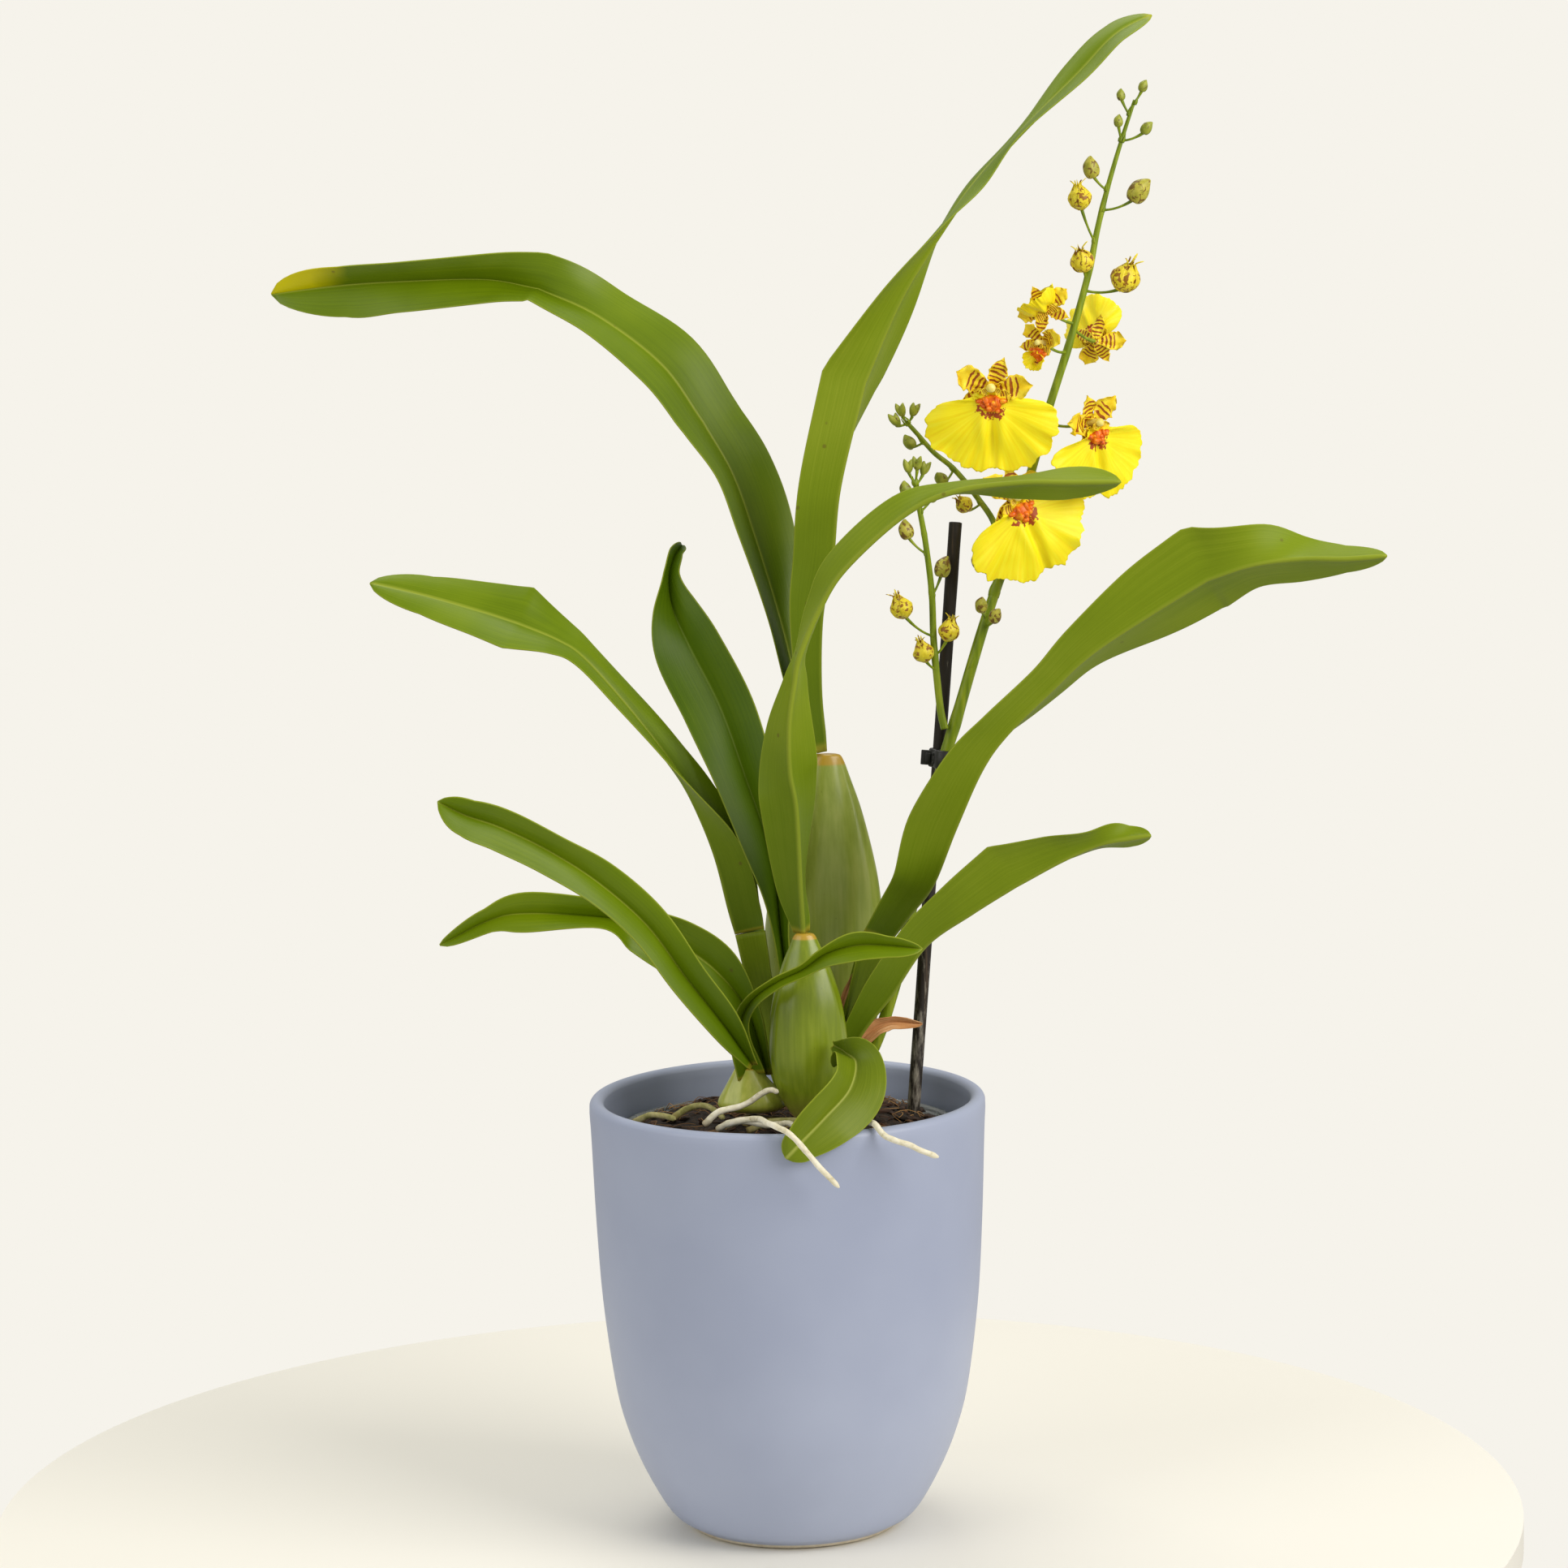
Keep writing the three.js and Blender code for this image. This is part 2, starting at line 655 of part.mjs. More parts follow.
// Three sepals and two petals as one star, with the column standing forward from its middle.
function makePerianth() {
  const arms = [
    { angle: 90, length: 13, width: 4.4 },
    { angle: 145, length: 15, width: 5 },
    { angle: 232, length: 14, width: 4 },
    { angle: 308, length: 14, width: 4 },
    { angle: 35, length: 15, width: 5 },
  ].map(({ angle, length, width }) => {
    const arm = new THREE.Shape();
    arm.moveTo(-1, -width * 0.25);
    arm.quadraticCurveTo(length * 0.55, -width * 0.95, length, -0.4);
    arm.lineTo(length, 0.4);
    arm.quadraticCurveTo(length * 0.55, width * 0.95, -1, width * 0.25);
    const solid = new THREE.ExtrudeGeometry(arm, { depth: 1.1, bevelEnabled: false, curveSegments: 3 });
    solid.rotateZ(THREE.MathUtils.degToRad(angle));
    solid.translate(0, 0, -1.6);
    return solid;
  });
  const column = new THREE.CylinderGeometry(1.3, 1.7, 6, 6);
  column.rotateX(Math.PI / 2);
  column.translate(0, 2.4, 1.6);
  return join([...arms, column]);
}

// yaw turns a flower about +Z from facing the front, nod tips its face down, roll spins it in its plane.
const flowers = [
  { name: "flower_large", at: [75.5, 3, 402], from: [94, 21.5, 387], yaw: -5, nod: 5, roll: 0, size: 1 },
  { name: "flower_lower", at: [83, 8, 363], from: [86.5, 19.5, 361], yaw: 25, nod: -5, roll: 6, size: 1 },
  { name: "flower_right", at: [110.5, 9, 389], from: [95, 21.5, 389.5], yaw: 36, nod: 4, roll: 12, size: 0.92 },
  { name: "flower_upper_left", at: [94, 17, 433], from: [107.5, 24.5, 423.5], yaw: -40, nod: -40, roll: 0, size: 0.5 },
  { name: "flower_turned_away", at: [110, 33, 424], from: [106, 24.5, 422], yaw: 160, nod: -10, roll: 10, size: 0.58 },
  { name: "flower_side", at: [92.5, 11, 415], from: [104, 23.5, 414], yaw: -70, nod: 0, roll: 0, size: 0.5 },
];

function placeFlower({ at, yaw, nod, roll, size }) {
  const holder = new THREE.Group();
  const [tip, spin, turn] = [nod, roll, yaw].map(THREE.MathUtils.degToRad);
  holder.position.set(...at);
  holder.rotation.set(Math.PI / 2 + tip, 0, turn, "ZYX");
  const inner = new THREE.Group();
  inner.rotation.z = spin;
  inner.scale.setScalar(size);
  holder.add(inner);
  plant.add(holder);
  holder.updateMatrixWorld(true);
  return inner;
}

const flowerStalks = flowers.map((flower) => {
  const inner = placeFlower(flower);
  addPart(`${flower.name}_lip`, makeLip(), yellow, inner);
  addPart(`${flower.name}_perianth`, makePerianth(), barred, inner);
  const back = inner.localToWorld(new THREE.Vector3(0, 0.5, -2.6));
  return makeStalk(rootOn(spikeLine, flower.from), back);
});

// Half-open buds are plumper drops that show a little of the yellow inside.
const halfOpen = [
  { name: "half_open_bud_left", at: [108.5, 22.5, 446], from: [112.5, 26, 437], width: 8.4 },
  { name: "half_open_bud_right", at: [124, 23, 440], from: [111.5, 26, 434], width: 10.5 },
];
const halfOpenStalks = halfOpen.map(({ name, at, from, width }) => {
  const drop = new THREE.SphereGeometry(width / 2, 8, 6);
  drop.scale(1, 1, 1.15);
  addPart(name, weld(drop), yellow).position.set(...at);
  const centre = new THREE.Vector3(...at);
  const foot = rootOn(spikeLine, from);
  const end = centre.clone().addScaledVector(foot.clone().sub(centre).normalize(), width * 0.62 + 0.4);
  return makeStalk(foot, end);
});

const looseStem = rod(spikeLine, (along) => spikeRadius(along) + gap, 26);
addPart("stake_clip", makeClip(looseStem), { color: 0x1b1b1b, roughness: 0.5, metalness: 0 });
addPart("flower_spike", makeSpray(spikeLine, spikeRadius, 26, spikeBuds, [...flowerStalks, ...halfOpenStalks]), stemGreen);
addPart("spray_left", makeSpray(leftSprayLine, (along) => mix(1.5, 0.9, along), 10, leftSprayBuds), stemGreen);
addPart("spray_back", makeSpray(backSprayLine, (along) => mix(1.3, 0.8, along), 10, backSprayBuds), stemGreen);

export default plant;
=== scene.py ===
import math
import random

import bmesh
import bpy
from mathutils import Matrix, Vector, noise


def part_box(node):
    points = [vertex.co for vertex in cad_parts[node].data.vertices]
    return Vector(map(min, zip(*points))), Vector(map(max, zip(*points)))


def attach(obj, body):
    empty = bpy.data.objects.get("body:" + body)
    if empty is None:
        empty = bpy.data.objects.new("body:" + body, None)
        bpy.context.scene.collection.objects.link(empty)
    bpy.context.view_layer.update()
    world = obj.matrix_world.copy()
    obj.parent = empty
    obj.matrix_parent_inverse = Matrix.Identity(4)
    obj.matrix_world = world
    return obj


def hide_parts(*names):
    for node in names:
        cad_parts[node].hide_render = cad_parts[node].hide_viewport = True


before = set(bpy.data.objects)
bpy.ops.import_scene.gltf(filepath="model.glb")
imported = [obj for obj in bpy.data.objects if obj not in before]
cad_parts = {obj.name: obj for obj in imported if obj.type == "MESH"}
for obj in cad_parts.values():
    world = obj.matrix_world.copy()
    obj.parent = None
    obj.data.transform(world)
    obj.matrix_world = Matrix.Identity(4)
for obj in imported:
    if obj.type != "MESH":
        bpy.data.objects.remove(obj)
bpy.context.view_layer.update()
mm = 0.001
print("frame loaded, nodes:", len(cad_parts))


# ---- small helpers shared by every piece

def linearColour(hexText):
    # sRGB hex to the linear values that the shaders want
    values = [int(hexText[i:i + 2], 16) / 255 for i in (1, 3, 5)]
    return [v / 12.92 if v <= 0.04045 else ((v + 0.055) / 1.055) ** 2.4 for v in values] + [1.0]


def linkInputs(tree, node, links):
    for key, socket in links.items():
        tree.links.new(socket, node.inputs[key])


def addNode(tree, kind, settings=None, links=None):
    # adds a node with its settings and links, and gives back the output that this scene uses
    settings = settings or {}
    node = tree.nodes.new("ShaderNode" + kind)
    for key, value in settings.items():
        if key == "stops":
            elements = node.color_ramp.elements
            while len(elements) < len(value):
                elements.new(0.5)
            for element, (position, colour) in zip(elements, value):
                element.position = position
                element.color = linearColour(colour) if isinstance(colour, str) else [colour] * 3 + [1.0]
        elif isinstance(key, int) or key in node.inputs:
            node.inputs[key].default_value = linearColour(value) if isinstance(value, str) else value
        else:
            setattr(node, key, value)
    linkInputs(tree, node, links or {})
    colourMix = settings.get("data_type") == "RGBA"
    return node.outputs[2 if colourMix else {"TexCoord": "Object", "Attribute": "Vector"}.get(kind, 0)]


def startMaterial(name, settings):
    material = bpy.data.materials.new(name)
    material.use_nodes = True
    tree = material.node_tree
    shader = tree.nodes["Principled BSDF"]
    for key, value in settings.items():
        shader.inputs[key].default_value = linearColour(value) if isinstance(value, str) else value
    return material, tree, shader


def finishPiece(name, bm, materials, nodes, smooth=True):
    mesh = bpy.data.meshes.new(name)
    bmesh.ops.recalc_face_normals(bm, faces=bm.faces[:])
    bm.to_mesh(mesh)
    bm.free()
    for material in materials:
        mesh.materials.append(material)
    if smooth:
        mesh.polygons.foreach_set("use_smooth", [True] * len(mesh.polygons))
    piece = bpy.data.objects.new(name, mesh)
    bpy.context.scene.collection.objects.link(piece)
    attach(piece, "root")
    if nodes:
        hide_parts(*nodes)
    return piece


def mix(start, end, share):
    return start + (end - start) * share


def rotated(degrees, axis):
    return Matrix.Rotation(math.radians(degrees), 4, axis)


def camelName(node):
    first, *others = node.split("_")
    return first + "".join(word.capitalize() for word in others)


def bump(distance, width):
    # a smooth hill: 1 at distance 0, fading over the width
    return math.exp(-(distance / width) ** 2)


def alongStations(stations, share, kinks=()):
    # Catmull-Rom through rows of numbers, at a share from 0 to 1 of the way, with a corner at each kink
    spans = len(stations) - 1
    place = min(max(share, 0.0), 1.0) * spans
    i = min(int(place), spans - 1)
    s = place - i
    b, c = stations[i], stations[i + 1]
    a = stations[i - 1] if i > 0 and i not in kinks else [2 * p - q for p, q in zip(b, c)]
    d = stations[i + 2] if i + 2 <= spans and i + 1 not in kinks else [2 * q - p for p, q in zip(b, c)]
    return [
        0.5 * (2 * q + (r - p) * s + (2 * p - 5 * q + 4 * r - t) * s ** 2 + (3 * q - p - 3 * r + t) * s ** 3)
        for p, q, r, t in zip(a, b, c, d)
    ]


def markPlace(bm):
    return bm.verts.layers.float_vector.get("place") or bm.verts.layers.float_vector.new("place")


def addSheet(bm, across, along, placeAt, faceIndex=(0, 0)):
    # A thin closed sheet: two grids joined at their rims. placeAt(u, t) gives the middle point, the way
    # the first face looks, half the thickness and the place mark, for u from -1 to 1 and t from 0 to 1.
    place = markPlace(bm)
    first = bmesh.ops.create_grid(bm, x_segments=across, y_segments=along, size=1)["verts"]
    faces = list({face for vert in first for face in vert.link_faces})
    edges = list({edge for vert in first for edge in vert.link_edges})
    copied = bmesh.ops.duplicate(bm, geom=first + edges + faces)["geom"]
    second = [item for item in copied if isinstance(item, bmesh.types.BMVert)]
    backFaces = [item for item in copied if isinstance(item, bmesh.types.BMFace)]
    bmesh.ops.reverse_faces(bm, faces=backFaces)
    for face in faces:
        face.material_index = faceIndex[0]
    for face in backFaces:
        face.material_index = faceIndex[1]
    rims = {edge for vert in first + second for edge in vert.link_edges if edge.is_boundary}
    bmesh.ops.bridge_loops(bm, edges=list(rims))
    for verts, sign in ((first, 1), (second, -1)):
        for vert in verts:
            point, normal, half, mark = placeAt(vert.co.x, (vert.co.y + 1) / 2)
            vert[place] = mark
            vert.co = point + normal * half * sign
    return first + second


def framesAlong(points):
    # a side and an up direction at each point, carried along without twisting
    rows = []
    side = None
    for i, point in enumerate(points):
        ahead = (points[min(i + 1, len(points) - 1)] - points[max(i - 1, 0)]).normalized()
        if side is None:
            side = ahead.orthogonal().normalized()
        side = (side - ahead * side.dot(ahead)).normalized()
        rows.append((point, side, ahead.cross(side), ahead))
    return rows


def addRod(bm, points, radiusAt, sides, materialIndex=0):
    # rings along the points, each bridged to the one before, capped at both ends
    place = markPlace(bm)
    last = len(points) - 1
    made, before = [], None
    for i, (point, side, up, ahead) in enumerate(framesAlong(points)):
        basis = Matrix((side, up, ahead)).transposed().to_4x4()
        basis.translation = point
        ring = bmesh.ops.create_circle(
            bm, cap_ends=i in (0, last), segments=sides, radius=radiusAt(i / last), matrix=basis
        )["verts"]
        edges = list({edge for vert in ring for edge in vert.link_edges})
        faces = {face for vert in ring for face in vert.link_faces}
        for k, vert in enumerate(ring):
            vert[place] = (k / sides, i / last, 0)
        if before:
            faces.update(bmesh.ops.bridge_loops(bm, edges=before + edges)["faces"])
        for face in faces:
            face.material_index = materialIndex
        before = edges
        made += ring
    return made


def smoothLine(rows, steps):
    # evenly counted points, in metres, of the curve through rows of millimetres
    return [Vector(alongStations(rows, i / steps)[:3]) * mm for i in range(steps + 1)]


# ---- camera, floor and light

view = {
    "place": (0.0009, -1.688, 0.5),
    "tilt": 82.1,  # degrees up from straight down
    "roll": -1.05,
    "lens": 111.6,
}


def setCamera():
    camera = bpy.data.objects.new("camera", bpy.data.cameras.new("camera"))
    camera.data.lens = view["lens"]
    camera.data.sensor_width = 36
    turn = rotated(view["tilt"], "X") @ rotated(view["roll"], "Z")
    camera.matrix_world = Matrix.Translation(view["place"]) @ turn
    bpy.context.scene.collection.objects.link(camera)
    bpy.context.scene.camera = camera


floorSizes = {"radius": 0.275, "middle": (-0.013, 0.027), "thickness": 0.012, "colour": "#efede5",
              "wall": "#f6f3eb"}


def layFloor():
    bm = bmesh.new()
    top = bmesh.ops.create_circle(bm, cap_ends=True, segments=160, radius=floorSizes["radius"])["verts"]
    bmesh.ops.translate(bm, verts=top, vec=(*floorSizes["middle"], -0.0002))
    under = bmesh.ops.extrude_face_region(bm, geom=bm.faces[:])["geom"]
    moved = [item for item in under if isinstance(item, bmesh.types.BMVert)]
    bmesh.ops.translate(bm, verts=moved, vec=(0, 0, -floorSizes["thickness"]))
    bmesh.ops.recalc_face_normals(bm, faces=bm.faces[:])
    mesh = bpy.data.meshes.new("floor")
    bm.to_mesh(mesh)
    bm.free()
    material = startMaterial("paleLacqueredBoard",
                             {"Roughness": 0.55, "Base Color": floorSizes["colour"]})[0]
    mesh.materials.append(material)
    floor = bpy.data.objects.new("floor", mesh)
    bpy.context.scene.collection.objects.link(floor)


lamps = [
    # name, place, size, watts, colour
    ("windowRight", (1.15, -0.85, 1.0), 1.1, 22, "#fffaf2"),
    ("windowLeft", (-1.3, -0.9, 0.9), 1.1, 8.5, "#fffdf8"),
    ("above", (-0.2, 0.5, 1.6), 1.0, 9, "#fffdf6"),
]
roomGlow = 0.52  # how strongly the pale room lights the plant, beside how bright it looks


def setLight():
    world = bpy.data.worlds.new("paleRoom")
    bpy.context.scene.world = world
    world.use_nodes = True
    tree = world.node_tree
    background = tree.nodes["Background"]
    background.inputs["Color"].default_value = linearColour(floorSizes["wall"])
    seen = addNode(tree, "LightPath")
    strength = addNode(tree, "MapRange", {"To Min": roomGlow, "To Max": 1.0}, {"Value": seen})
    tree.links.new(strength, background.inputs["Strength"])
    for name, place, size, watts, colour in lamps:
        lamp = bpy.data.objects.new(name, bpy.data.lights.new(name, "AREA"))
        lamp.data.size = size
        lamp.data.energy = watts
        lamp.data.color = linearColour(colour)[:3]
        aim = Vector((0, 0, 0.25)) - Vector(place)
        lamp.matrix_world = Matrix.Translation(place) @ aim.to_track_quat("-Z", "Y").to_matrix().to_4x4()
        bpy.context.scene.collection.objects.link(lamp)
    bpy.context.scene.view_settings.view_transform = "Standard"


setCamera()
layFloor()
setLight()
print("camera, floor and light set")


# ---- ceramic pot, nursery pot and growing medium

potSizes = {
    "height": 155 * mm,
    "radius": 70 * mm,
    "wall": 5.3 * mm,
    "floor": 8 * mm,
    "steps": 144,
    "glaze": "#9aa3bd",
    "glazeWorn": "#a5aec6",
}
# radius and height of the outside, from the foot to below the lip, in millimetres
potOutline = [
    [37.5, 1.5], [44.7, 6.6], [53.2, 21.5], [59.1, 36.4], [62.9, 52], [66.6, 81], [68.4, 110], [69.5, 140],
    [70, 150],
]


def spinProfile(bm, profile, steps):
    # turns a line of (radius, height) points into a closed round body
    verts = [bm.verts.new((radius, 0, height)) for radius, height in profile]
    edges = [bm.edges.new(pair) for pair in zip(verts, verts[1:])]
    bmesh.ops.spin(bm, geom=verts + edges, cent=(0, 0, 0), axis=(0, 0, 1), angle=2 * math.pi, steps=steps,
                   use_merge=True)
    bmesh.ops.remove_doubles(bm, verts=bm.verts[:], dist=1e-6)
    bmesh.ops.recalc_face_normals(bm, faces=bm.faces[:])


def glazedCeramic():
    # stoneware with a satin slip glaze: an even soft colour, a broad sheen and a very slight unevenness
    material, tree, shader = startMaterial("satinGlazedStoneware", {"Roughness": 0.42, "IOR": 1.5})
    place = addNode(tree, "TexCoord")
    cloud = addNode(tree, "TexNoise", {"Scale": 14.0, "Detail": 3.0}, {"Vector": place})
    tone = addNode(tree, "ValToRGB", {"stops": [(0.35, potSizes["glaze"]), (0.75, potSizes["glazeWorn"])]},
                   {"Fac": cloud})
    # a few pinholes in the glaze, about half a millimetre wide
    pits = addNode(tree, "TexVoronoi", {"Scale": 70.0, "Randomness": 1.0}, {"Vector": place})
    spot = addNode(tree, "ValToRGB", {"stops": [(0.0, 1.0), (0.035, 0.0)]}, {"Fac": pits})
    rare = addNode(tree, "TexNoise", {"Scale": 31.0}, {"Vector": place})
    few = addNode(tree, "ValToRGB", {"stops": [(0.69, 0.0), (0.7, 1.0)]}, {"Fac": rare})
    pinhole = addNode(tree, "Math", {"operation": "MULTIPLY"}, {0: spot, 1: few})
    speckled = addNode(tree, "Mix", {"data_type": "RGBA", 7: "#4d587c"}, {0: pinhole, 6: tone})
    skin = addNode(tree, "TexNoise", {"Scale": 260.0, "Detail": 4.0}, {"Vector": place})
    lift = addNode(tree, "Bump", {"Strength": 0.06, "Distance": 0.0006}, {"Height": skin})
    gloss = addNode(tree, "MapRange", {"To Min": 0.36, "To Max": 0.5}, {"Value": cloud})
    linkInputs(tree, shader, {"Base Color": speckled, "Normal": lift, "Roughness": gloss})
    return material


def bareFoot():
    # the unglazed ring that the pot stands on: pale, dry clay
    material, tree, shader = startMaterial("unglazedStoneware", {"Roughness": 0.85})
    place = addNode(tree, "TexCoord")
    grain = addNode(tree, "TexNoise", {"Scale": 500.0, "Detail": 3.0}, {"Vector": place})
    tone = addNode(tree, "ValToRGB", {"stops": [(0.3, "#c9bda6"), (0.7, "#ded4bf")]}, {"Fac": grain})
    linkInputs(tree, shader, {"Base Color": tone})
    return material


def modelCeramicPot():
    s = potSizes
    bm = bmesh.new()
    samples = 60
    outside = [alongStations(potOutline, i / samples) for i in range(samples + 1)]
    outside = [(r * mm, h * mm) for r, h in outside]
    reach = s["wall"] / 2
    lip = []
    for i in range(1, 14):
        angle = math.pi * i / 14
        lip.append((s["radius"] - reach + math.cos(angle) * reach,
                    s["height"] - reach + math.sin(angle) * reach))
    inside = [(r - s["wall"], h) for r, h in reversed(outside) if h > s["floor"] + 4 * mm]
    bowl = [(mix(inside[-1][0], 0, (i / 8) ** 0.8),
             mix(inside[-1][1], s["floor"], 1 - (1 - i / 8) ** 3)) for i in range(1, 9)]
    # foot: a flat ring to stand on, a small rounded edge outside and a shallow hollow within it
    foot = [(0, 1.6 * mm), (30 * mm, 1.6 * mm), (31.5 * mm, 1.2 * mm), (32.4 * mm, 0), (35.6 * mm, 0),
            (36.9 * mm, 0.45 * mm)]
    spinProfile(bm, foot + outside + lip + inside + bowl, s["steps"])
    for face in bm.faces:
        centre = face.calc_center_median()
        if centre.z < 1.7 * mm and centre.xy.length < 37.2 * mm:
            face.material_index = 1
    finishPiece("ceramicPot", bm, [glazedCeramic(), bareFoot()], ["ceramic_pot"])


nurserySizes = {"top": 143 * mm, "topRadius": 60 * mm, "footRadius": 37 * mm, "wall": 0.8 * mm,
                "lip": 1.5 * mm}


def clearPolypropylene():
    # thin moulded polypropylene: see-through, greyish and a little cloudy where it has been handled
    material, tree, shader = startMaterial("clearPolypropylene", {"IOR": 1.49, "Transmission Weight": 0.75})
    place = addNode(tree, "TexCoord")
    scuffs = addNode(tree, "TexNoise", {"Scale": 90.0, "Detail": 5.0}, {"Vector": place})
    cloudy = addNode(tree, "MapRange", {"To Min": 0.12, "To Max": 0.4}, {"Value": scuffs})
    tone = addNode(tree, "ValToRGB", {"stops": [(0.3, "#b9bfc0"), (0.7, "#d7dbd9")]}, {"Fac": scuffs})
    linkInputs(tree, shader, {"Roughness": cloudy, "Base Color": tone})
    return material


def modelNurseryPot():
    s = nurserySizes
    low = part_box("nursery_pot")[0]
    bm = bmesh.new()
    wall = s["wall"]
    count = 26
    outside, inside = [], []
    for i in range(count + 1):
        share = i / count
        radius = mix(s["footRadius"], s["topRadius"], share)
        height = mix(low.z, s["top"] - 2 * mm, share)
        rib = 0.25 * mm * math.sin(share * 12 * math.pi) ** 8  # shallow moulded bands
        outside.append((radius + rib, height))
        inside.append((radius - wall, height + wall * 1.6))
    rim = [
        (s["topRadius"] + s["lip"] - 0.3 * mm, s["top"] - 2 * mm),
        (s["topRadius"] + s["lip"], s["top"] - 1.7 * mm),
        (s["topRadius"] + s["lip"], s["top"] - 0.3 * mm),
        (s["topRadius"] + s["lip"] - 0.3 * mm, s["top"]),
        (s["topRadius"] - wall + 0.2 * mm, s["top"]),
    ]
    inside = [point for point in reversed(inside) if point[1] < s["top"] - 0.4 * mm]
    spinProfile(bm, [(0, low.z)] + outside + rim + inside + [(0, low.z + wall * 1.6)], 96)
    finishPiece("nurseryPot", bm, [clearPolypropylene()], ["nursery_pot"])


mediumSizes = {
    "chips": 420,
    "fibres": 150,
    "crumb": 0.9 * mm,
    "surface": [[0, 148.6], [34, 148.4], [50, 145.2], [57.0, 141]],
}


def dampPeat():
    # moist peat and fine bark: nearly black with brown crumbs, rough and dull
    material, tree, shader = startMaterial("dampPeatAndBark", {"Roughness": 0.9})
    place = addNode(tree, "TexCoord")
    crumbs = addNode(tree, "TexNoise", {"Scale": 420.0, "Detail": 8.0, "Roughness": 0.7}, {"Vector": place})
    tone = addNode(tree, "ValToRGB", {"stops": [(0.35, "#120c06"), (0.55, "#2b1c10"), (0.72, "#54381f")]},
                   {"Fac": crumbs})
    lift = addNode(tree, "Bump", {"Strength": 0.9, "Distance": 0.0012}, {"Height": crumbs})
    linkInputs(tree, shader, {"Base Color": tone, "Normal": lift})
    return material


def orchidBark():
    # broken pine bark: dark red-brown flakes with lighter torn edges
    material, tree, shader = startMaterial("pineBarkFlakes", {"Roughness": 0.85})
    place = addNode(tree, "TexCoord")
    flakes = addNode(tree, "TexNoise", {"Scale": 160.0, "Detail": 6.0}, {"Vector": place})
    tone = addNode(tree, "ValToRGB", {"stops": [(0.35, "#1c1108"), (0.6, "#3f2614"), (0.75, "#6d4726")]},
                   {"Fac": flakes})
    linkInputs(tree, shader, {"Base Color": tone})
    return material


def coirFibre():
    # coconut fibre: thin tan hairs
    material, tree, shader = startMaterial("coirFibre", {"Roughness": 0.8})
    place = addNode(tree, "TexCoord")
    tint = addNode(tree, "TexNoise", {"Scale": 60.0}, {"Vector": place})
    tone = addNode(tree, "ValToRGB", {"stops": [(0.35, "#5b3a1c"), (0.65, "#a9814e")]}, {"Fac": tint})
    linkInputs(tree, shader, {"Base Color": tone})
    return material


def surfaceHeight(x, y):
    # height of the growing medium's top at a place on it
    radius = math.hypot(x, y) / mm
    rows = mediumSizes["surface"]
    for (r0, h0), (r1, h1) in zip(rows, rows[1:]):
        if radius <= r1:
            return mix(h0, h1, (radius - r0) / (r1 - r0)) * mm
    return rows[-1][1] * mm


def modelMedium():
    s = mediumSizes
    bm = bmesh.new()
    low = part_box("growing_medium")[0]
    rings = 64
    top = []
    for i in range(rings + 1):
        radius = 57.0 * mm * i / rings
        top.append((radius, surfaceHeight(radius, 0)))
    side = [(mix(57.0, 37.5, i / 10) * mm, mix(138 * mm, low.z, i / 10)) for i in range(11)]
    spinProfile(bm, top + side + [(0, low.z)], 180)
    for vert in bm.verts:
        if vert.co.z > 140 * mm:
            crumb = noise.noise(vert.co * 330) + 0.5 * noise.noise(vert.co * 900)
            hump = noise.noise(vert.co * 60)
            vert.co.z += s["crumb"] * crumb + 1.2 * mm * hump - 0.9 * mm
    finishPiece("growingMedium", bm, [dampPeat()], ["growing_medium"])

    dice = random.Random(4)
    bm = bmesh.new()
    for _ in range(s["chips"]):
        angle, radius = dice.uniform(0, 2 * math.pi), 55 * mm * math.sqrt(dice.random())
        x, y = math.cos(angle) * radius, math.sin(angle) * radius
        size = dice.uniform(0.9, 2.6) * mm
        flake = bmesh.ops.create_icosphere(bm, subdivisions=1, radius=size)["verts"]
        for vert in flake:
            vert.co += Vector([dice.uniform(-0.3, 0.3) * size for _ in range(3)])
        bmesh.ops.scale(bm, verts=flake,
                        vec=(dice.uniform(0.8, 1.7), dice.uniform(0.6, 1.1), dice.uniform(0.3, 0.55)))
        turn = Matrix.Rotation(dice.uniform(0, 6.3), 4, "Z")
        turn = turn @ Matrix.Rotation(dice.uniform(-0.5, 0.5), 4, "X")
        bmesh.ops.rotate(bm, verts=flake, matrix=turn)
        bmesh.ops.translate(bm, verts=flake, vec=(x, y, surfaceHeight(x, y) + dice.uniform(-1.2, 0.3) * mm))
    finishPiece("barkFlakes", bm, [orchidBark()], [], smooth=False)

    bm = bmesh.new()
    for _ in range(s["fibres"]):
        angle, radius = dice.uniform(0, 2 * math.pi), 54 * mm * math.sqrt(dice.random())
        x, y = math.cos(angle) * radius, math.sin(angle) * radius
        heading, length = dice.uniform(0, 6.3), dice.uniform(4, 13) * mm
        curl = dice.uniform(-1.4, 1.4)
        rise = dice.uniform(0.4, 2.2) * mm
        points = []
        for k in range(5):
            t = k / 4
            turn = heading + curl * t
            px, py = x + math.cos(turn) * length * (t - 0.5), y + math.sin(turn) * length * (t - 0.5)
            points.append(Vector((px, py, surfaceHeight(px, py) + rise * math.sin(math.pi * t) + 0.1 * mm)))
        addRod(bm, points, lambda share: 0.14 * mm, 4)
    finishPiece("coirFibres", bm, [coirFibre()], [])


modelCeramicPot()
modelNurseryPot()
modelMedium()
print("pots and growing medium modelled")


# ---- stake and clip

stakeSizes = {
    "foot": (45, 12, 147),
    "top": (63, 20, 355),
    "buried": 80,
    "radius": 2.3 * mm,
    "clipAt": 0.6,
    "clipHeight": 6.5 * mm,
    "stain": "#241b12",
    "scuff": "#b9b2a2",
}


